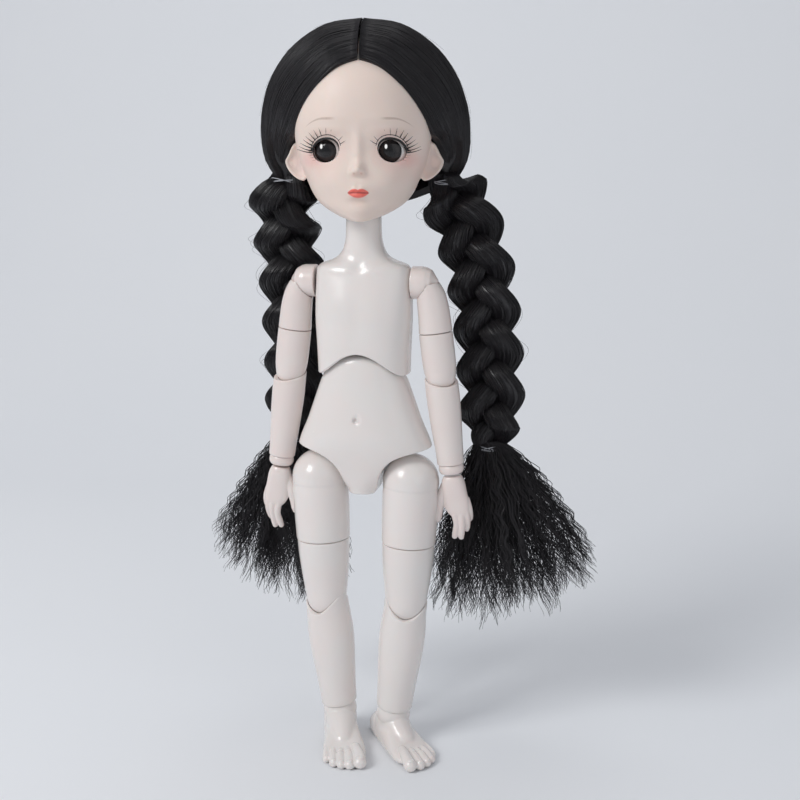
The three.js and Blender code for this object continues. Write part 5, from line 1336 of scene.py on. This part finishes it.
# Ties: thin clear elastic wound several times round the hair above and below each braid.
elastic = Finish("tie_elastic", Roughness=0.18, Transmission_Weight=0.35)
elastic.paint(Base_Color=elastic.blend(elastic.noise(500, 2), (0.42, 0.44, 0.48, 1), (0.62, 0.63, 0.66, 1)))
for side, sign in (("right", -1), ("left", 1)):
    for name, node, place, size, body, matrix in (
        ("ear_tie", "ear_tie", (sign * 33.2, 13.2, 237.3), (5.6, 5.2), "head", TURN),
        ("end_tie", "braid_tie", tuple(ROUTES[side][-1]), (5.2, 4.6), "neck_knuckle", Matrix()),
    ):
        paths = []
        for k in range(3):
            turn = np.linspace(0, 2 * math.pi, 49) + k
            tip, roll = random.uniform(-0.35, 0.35), random.uniform(-0.3, 0.3)
            x, y = size[0] * np.cos(turn), size[1] * np.sin(turn)
            z = (k - 1) * 0.42 + x * tip * 0.8 + y * roll * 0.8
            paths.append(np.stack([place[0] + x, place[1] + y, place[2] + z], -1))
        fibres(f"{name}_wound_{side}", paths, 0.2 * np.ones((3, 49)), elastic.material, body, "tie_elastic", matrix, 10,
               [f"{node}_{side}"])

# Floor and backdrop: one pale sweep of card that the doll stands on.
bend = [(0.35 + 0.5 * math.sin(turn), 0.5 - 0.5 * math.cos(turn)) for turn in np.linspace(0, math.pi / 2, 40)]
sweep = [(y, 0.0) for y in np.linspace(-1.6, 0.33, 30)] + bend + [(0.85, z) for z in np.linspace(0.53, 2.0, 24)]
points = [(x, y, z) for y, z in sweep for x in (-1.8, 1.8)]
faces = [(2 * i, 2 * i + 1, 2 * i + 3, 2 * i + 2) for i in range(len(sweep) - 1)]
mesh = bpy.data.meshes.new("studio_sweep")
mesh.from_pydata(points, [], faces)
mesh.shade_smooth()
floor = bpy.data.objects.new("studio_sweep", mesh)
bpy.context.collection.objects.link(floor)
card = Finish("pale_card", Roughness=0.9)
card.paint(Base_Color=card.blend(card.noise(3, 2), (0.80, 0.82, 0.85, 1), (0.84, 0.85, 0.87, 1)))
mesh.materials.append(card.material)

# Lights: a big soft window from the front left, a weaker one from the right, and an even room.
for name, spot, size, power in (
    ("window", (-0.75, -0.85, 0.95), 0.55, 9.0),
    ("fill", (0.95, -0.8, 0.5), 1.0, 1.3),
    ("top", (-0.1, 0.25, 1.3), 0.8, 2.2),
):
    lamp = bpy.data.lights.new(name, "AREA")
    lamp.size = size
    lamp.energy = power
    light = bpy.data.objects.new(name, lamp)
    light.location = spot
    light.rotation_euler = (Vector((0, 0, 0.17)) - Vector(spot)).to_track_quat("-Z", "Y").to_euler()
    bpy.context.collection.objects.link(light)
world = bpy.data.worlds.new("room")
world.use_nodes = True
world.node_tree.nodes["Background"].inputs["Color"].default_value = (0.93, 0.95, 1, 1)
world.node_tree.nodes["Background"].inputs["Strength"].default_value = 0.42
bpy.context.scene.world = world

# Camera: a little above the doll's head, from its left, looking down at the chest.
camera = bpy.data.objects.new("camera", bpy.data.cameras.new("camera"))
bpy.context.collection.objects.link(camera)
stand = STAND.to_translation()
spot = Vector((0.1210, -0.4851, 0.250)) + stand
FOCAL, PICTURE, SENSOR = 1240, 800, 36
MIDDLE_LEFT_OF_NECK = 36.5
pitch = math.radians(11.4)
right = math.atan(MIDDLE_LEFT_OF_NECK / FOCAL * math.cos(pitch))
heading = math.atan2(stand.y - spot.y, stand.x - spot.x) - right
aim = Vector((math.cos(heading) * math.cos(pitch), math.sin(heading) * math.cos(pitch), -math.sin(pitch)))
camera.location = spot
camera.rotation_euler = aim.to_track_quat("-Z", "Y").to_euler()
camera.data.sensor_width = SENSOR
camera.data.lens = FOCAL * SENSOR / PICTURE
bpy.context.scene.camera = camera
bpy.context.scene.view_settings.view_transform = "Standard"
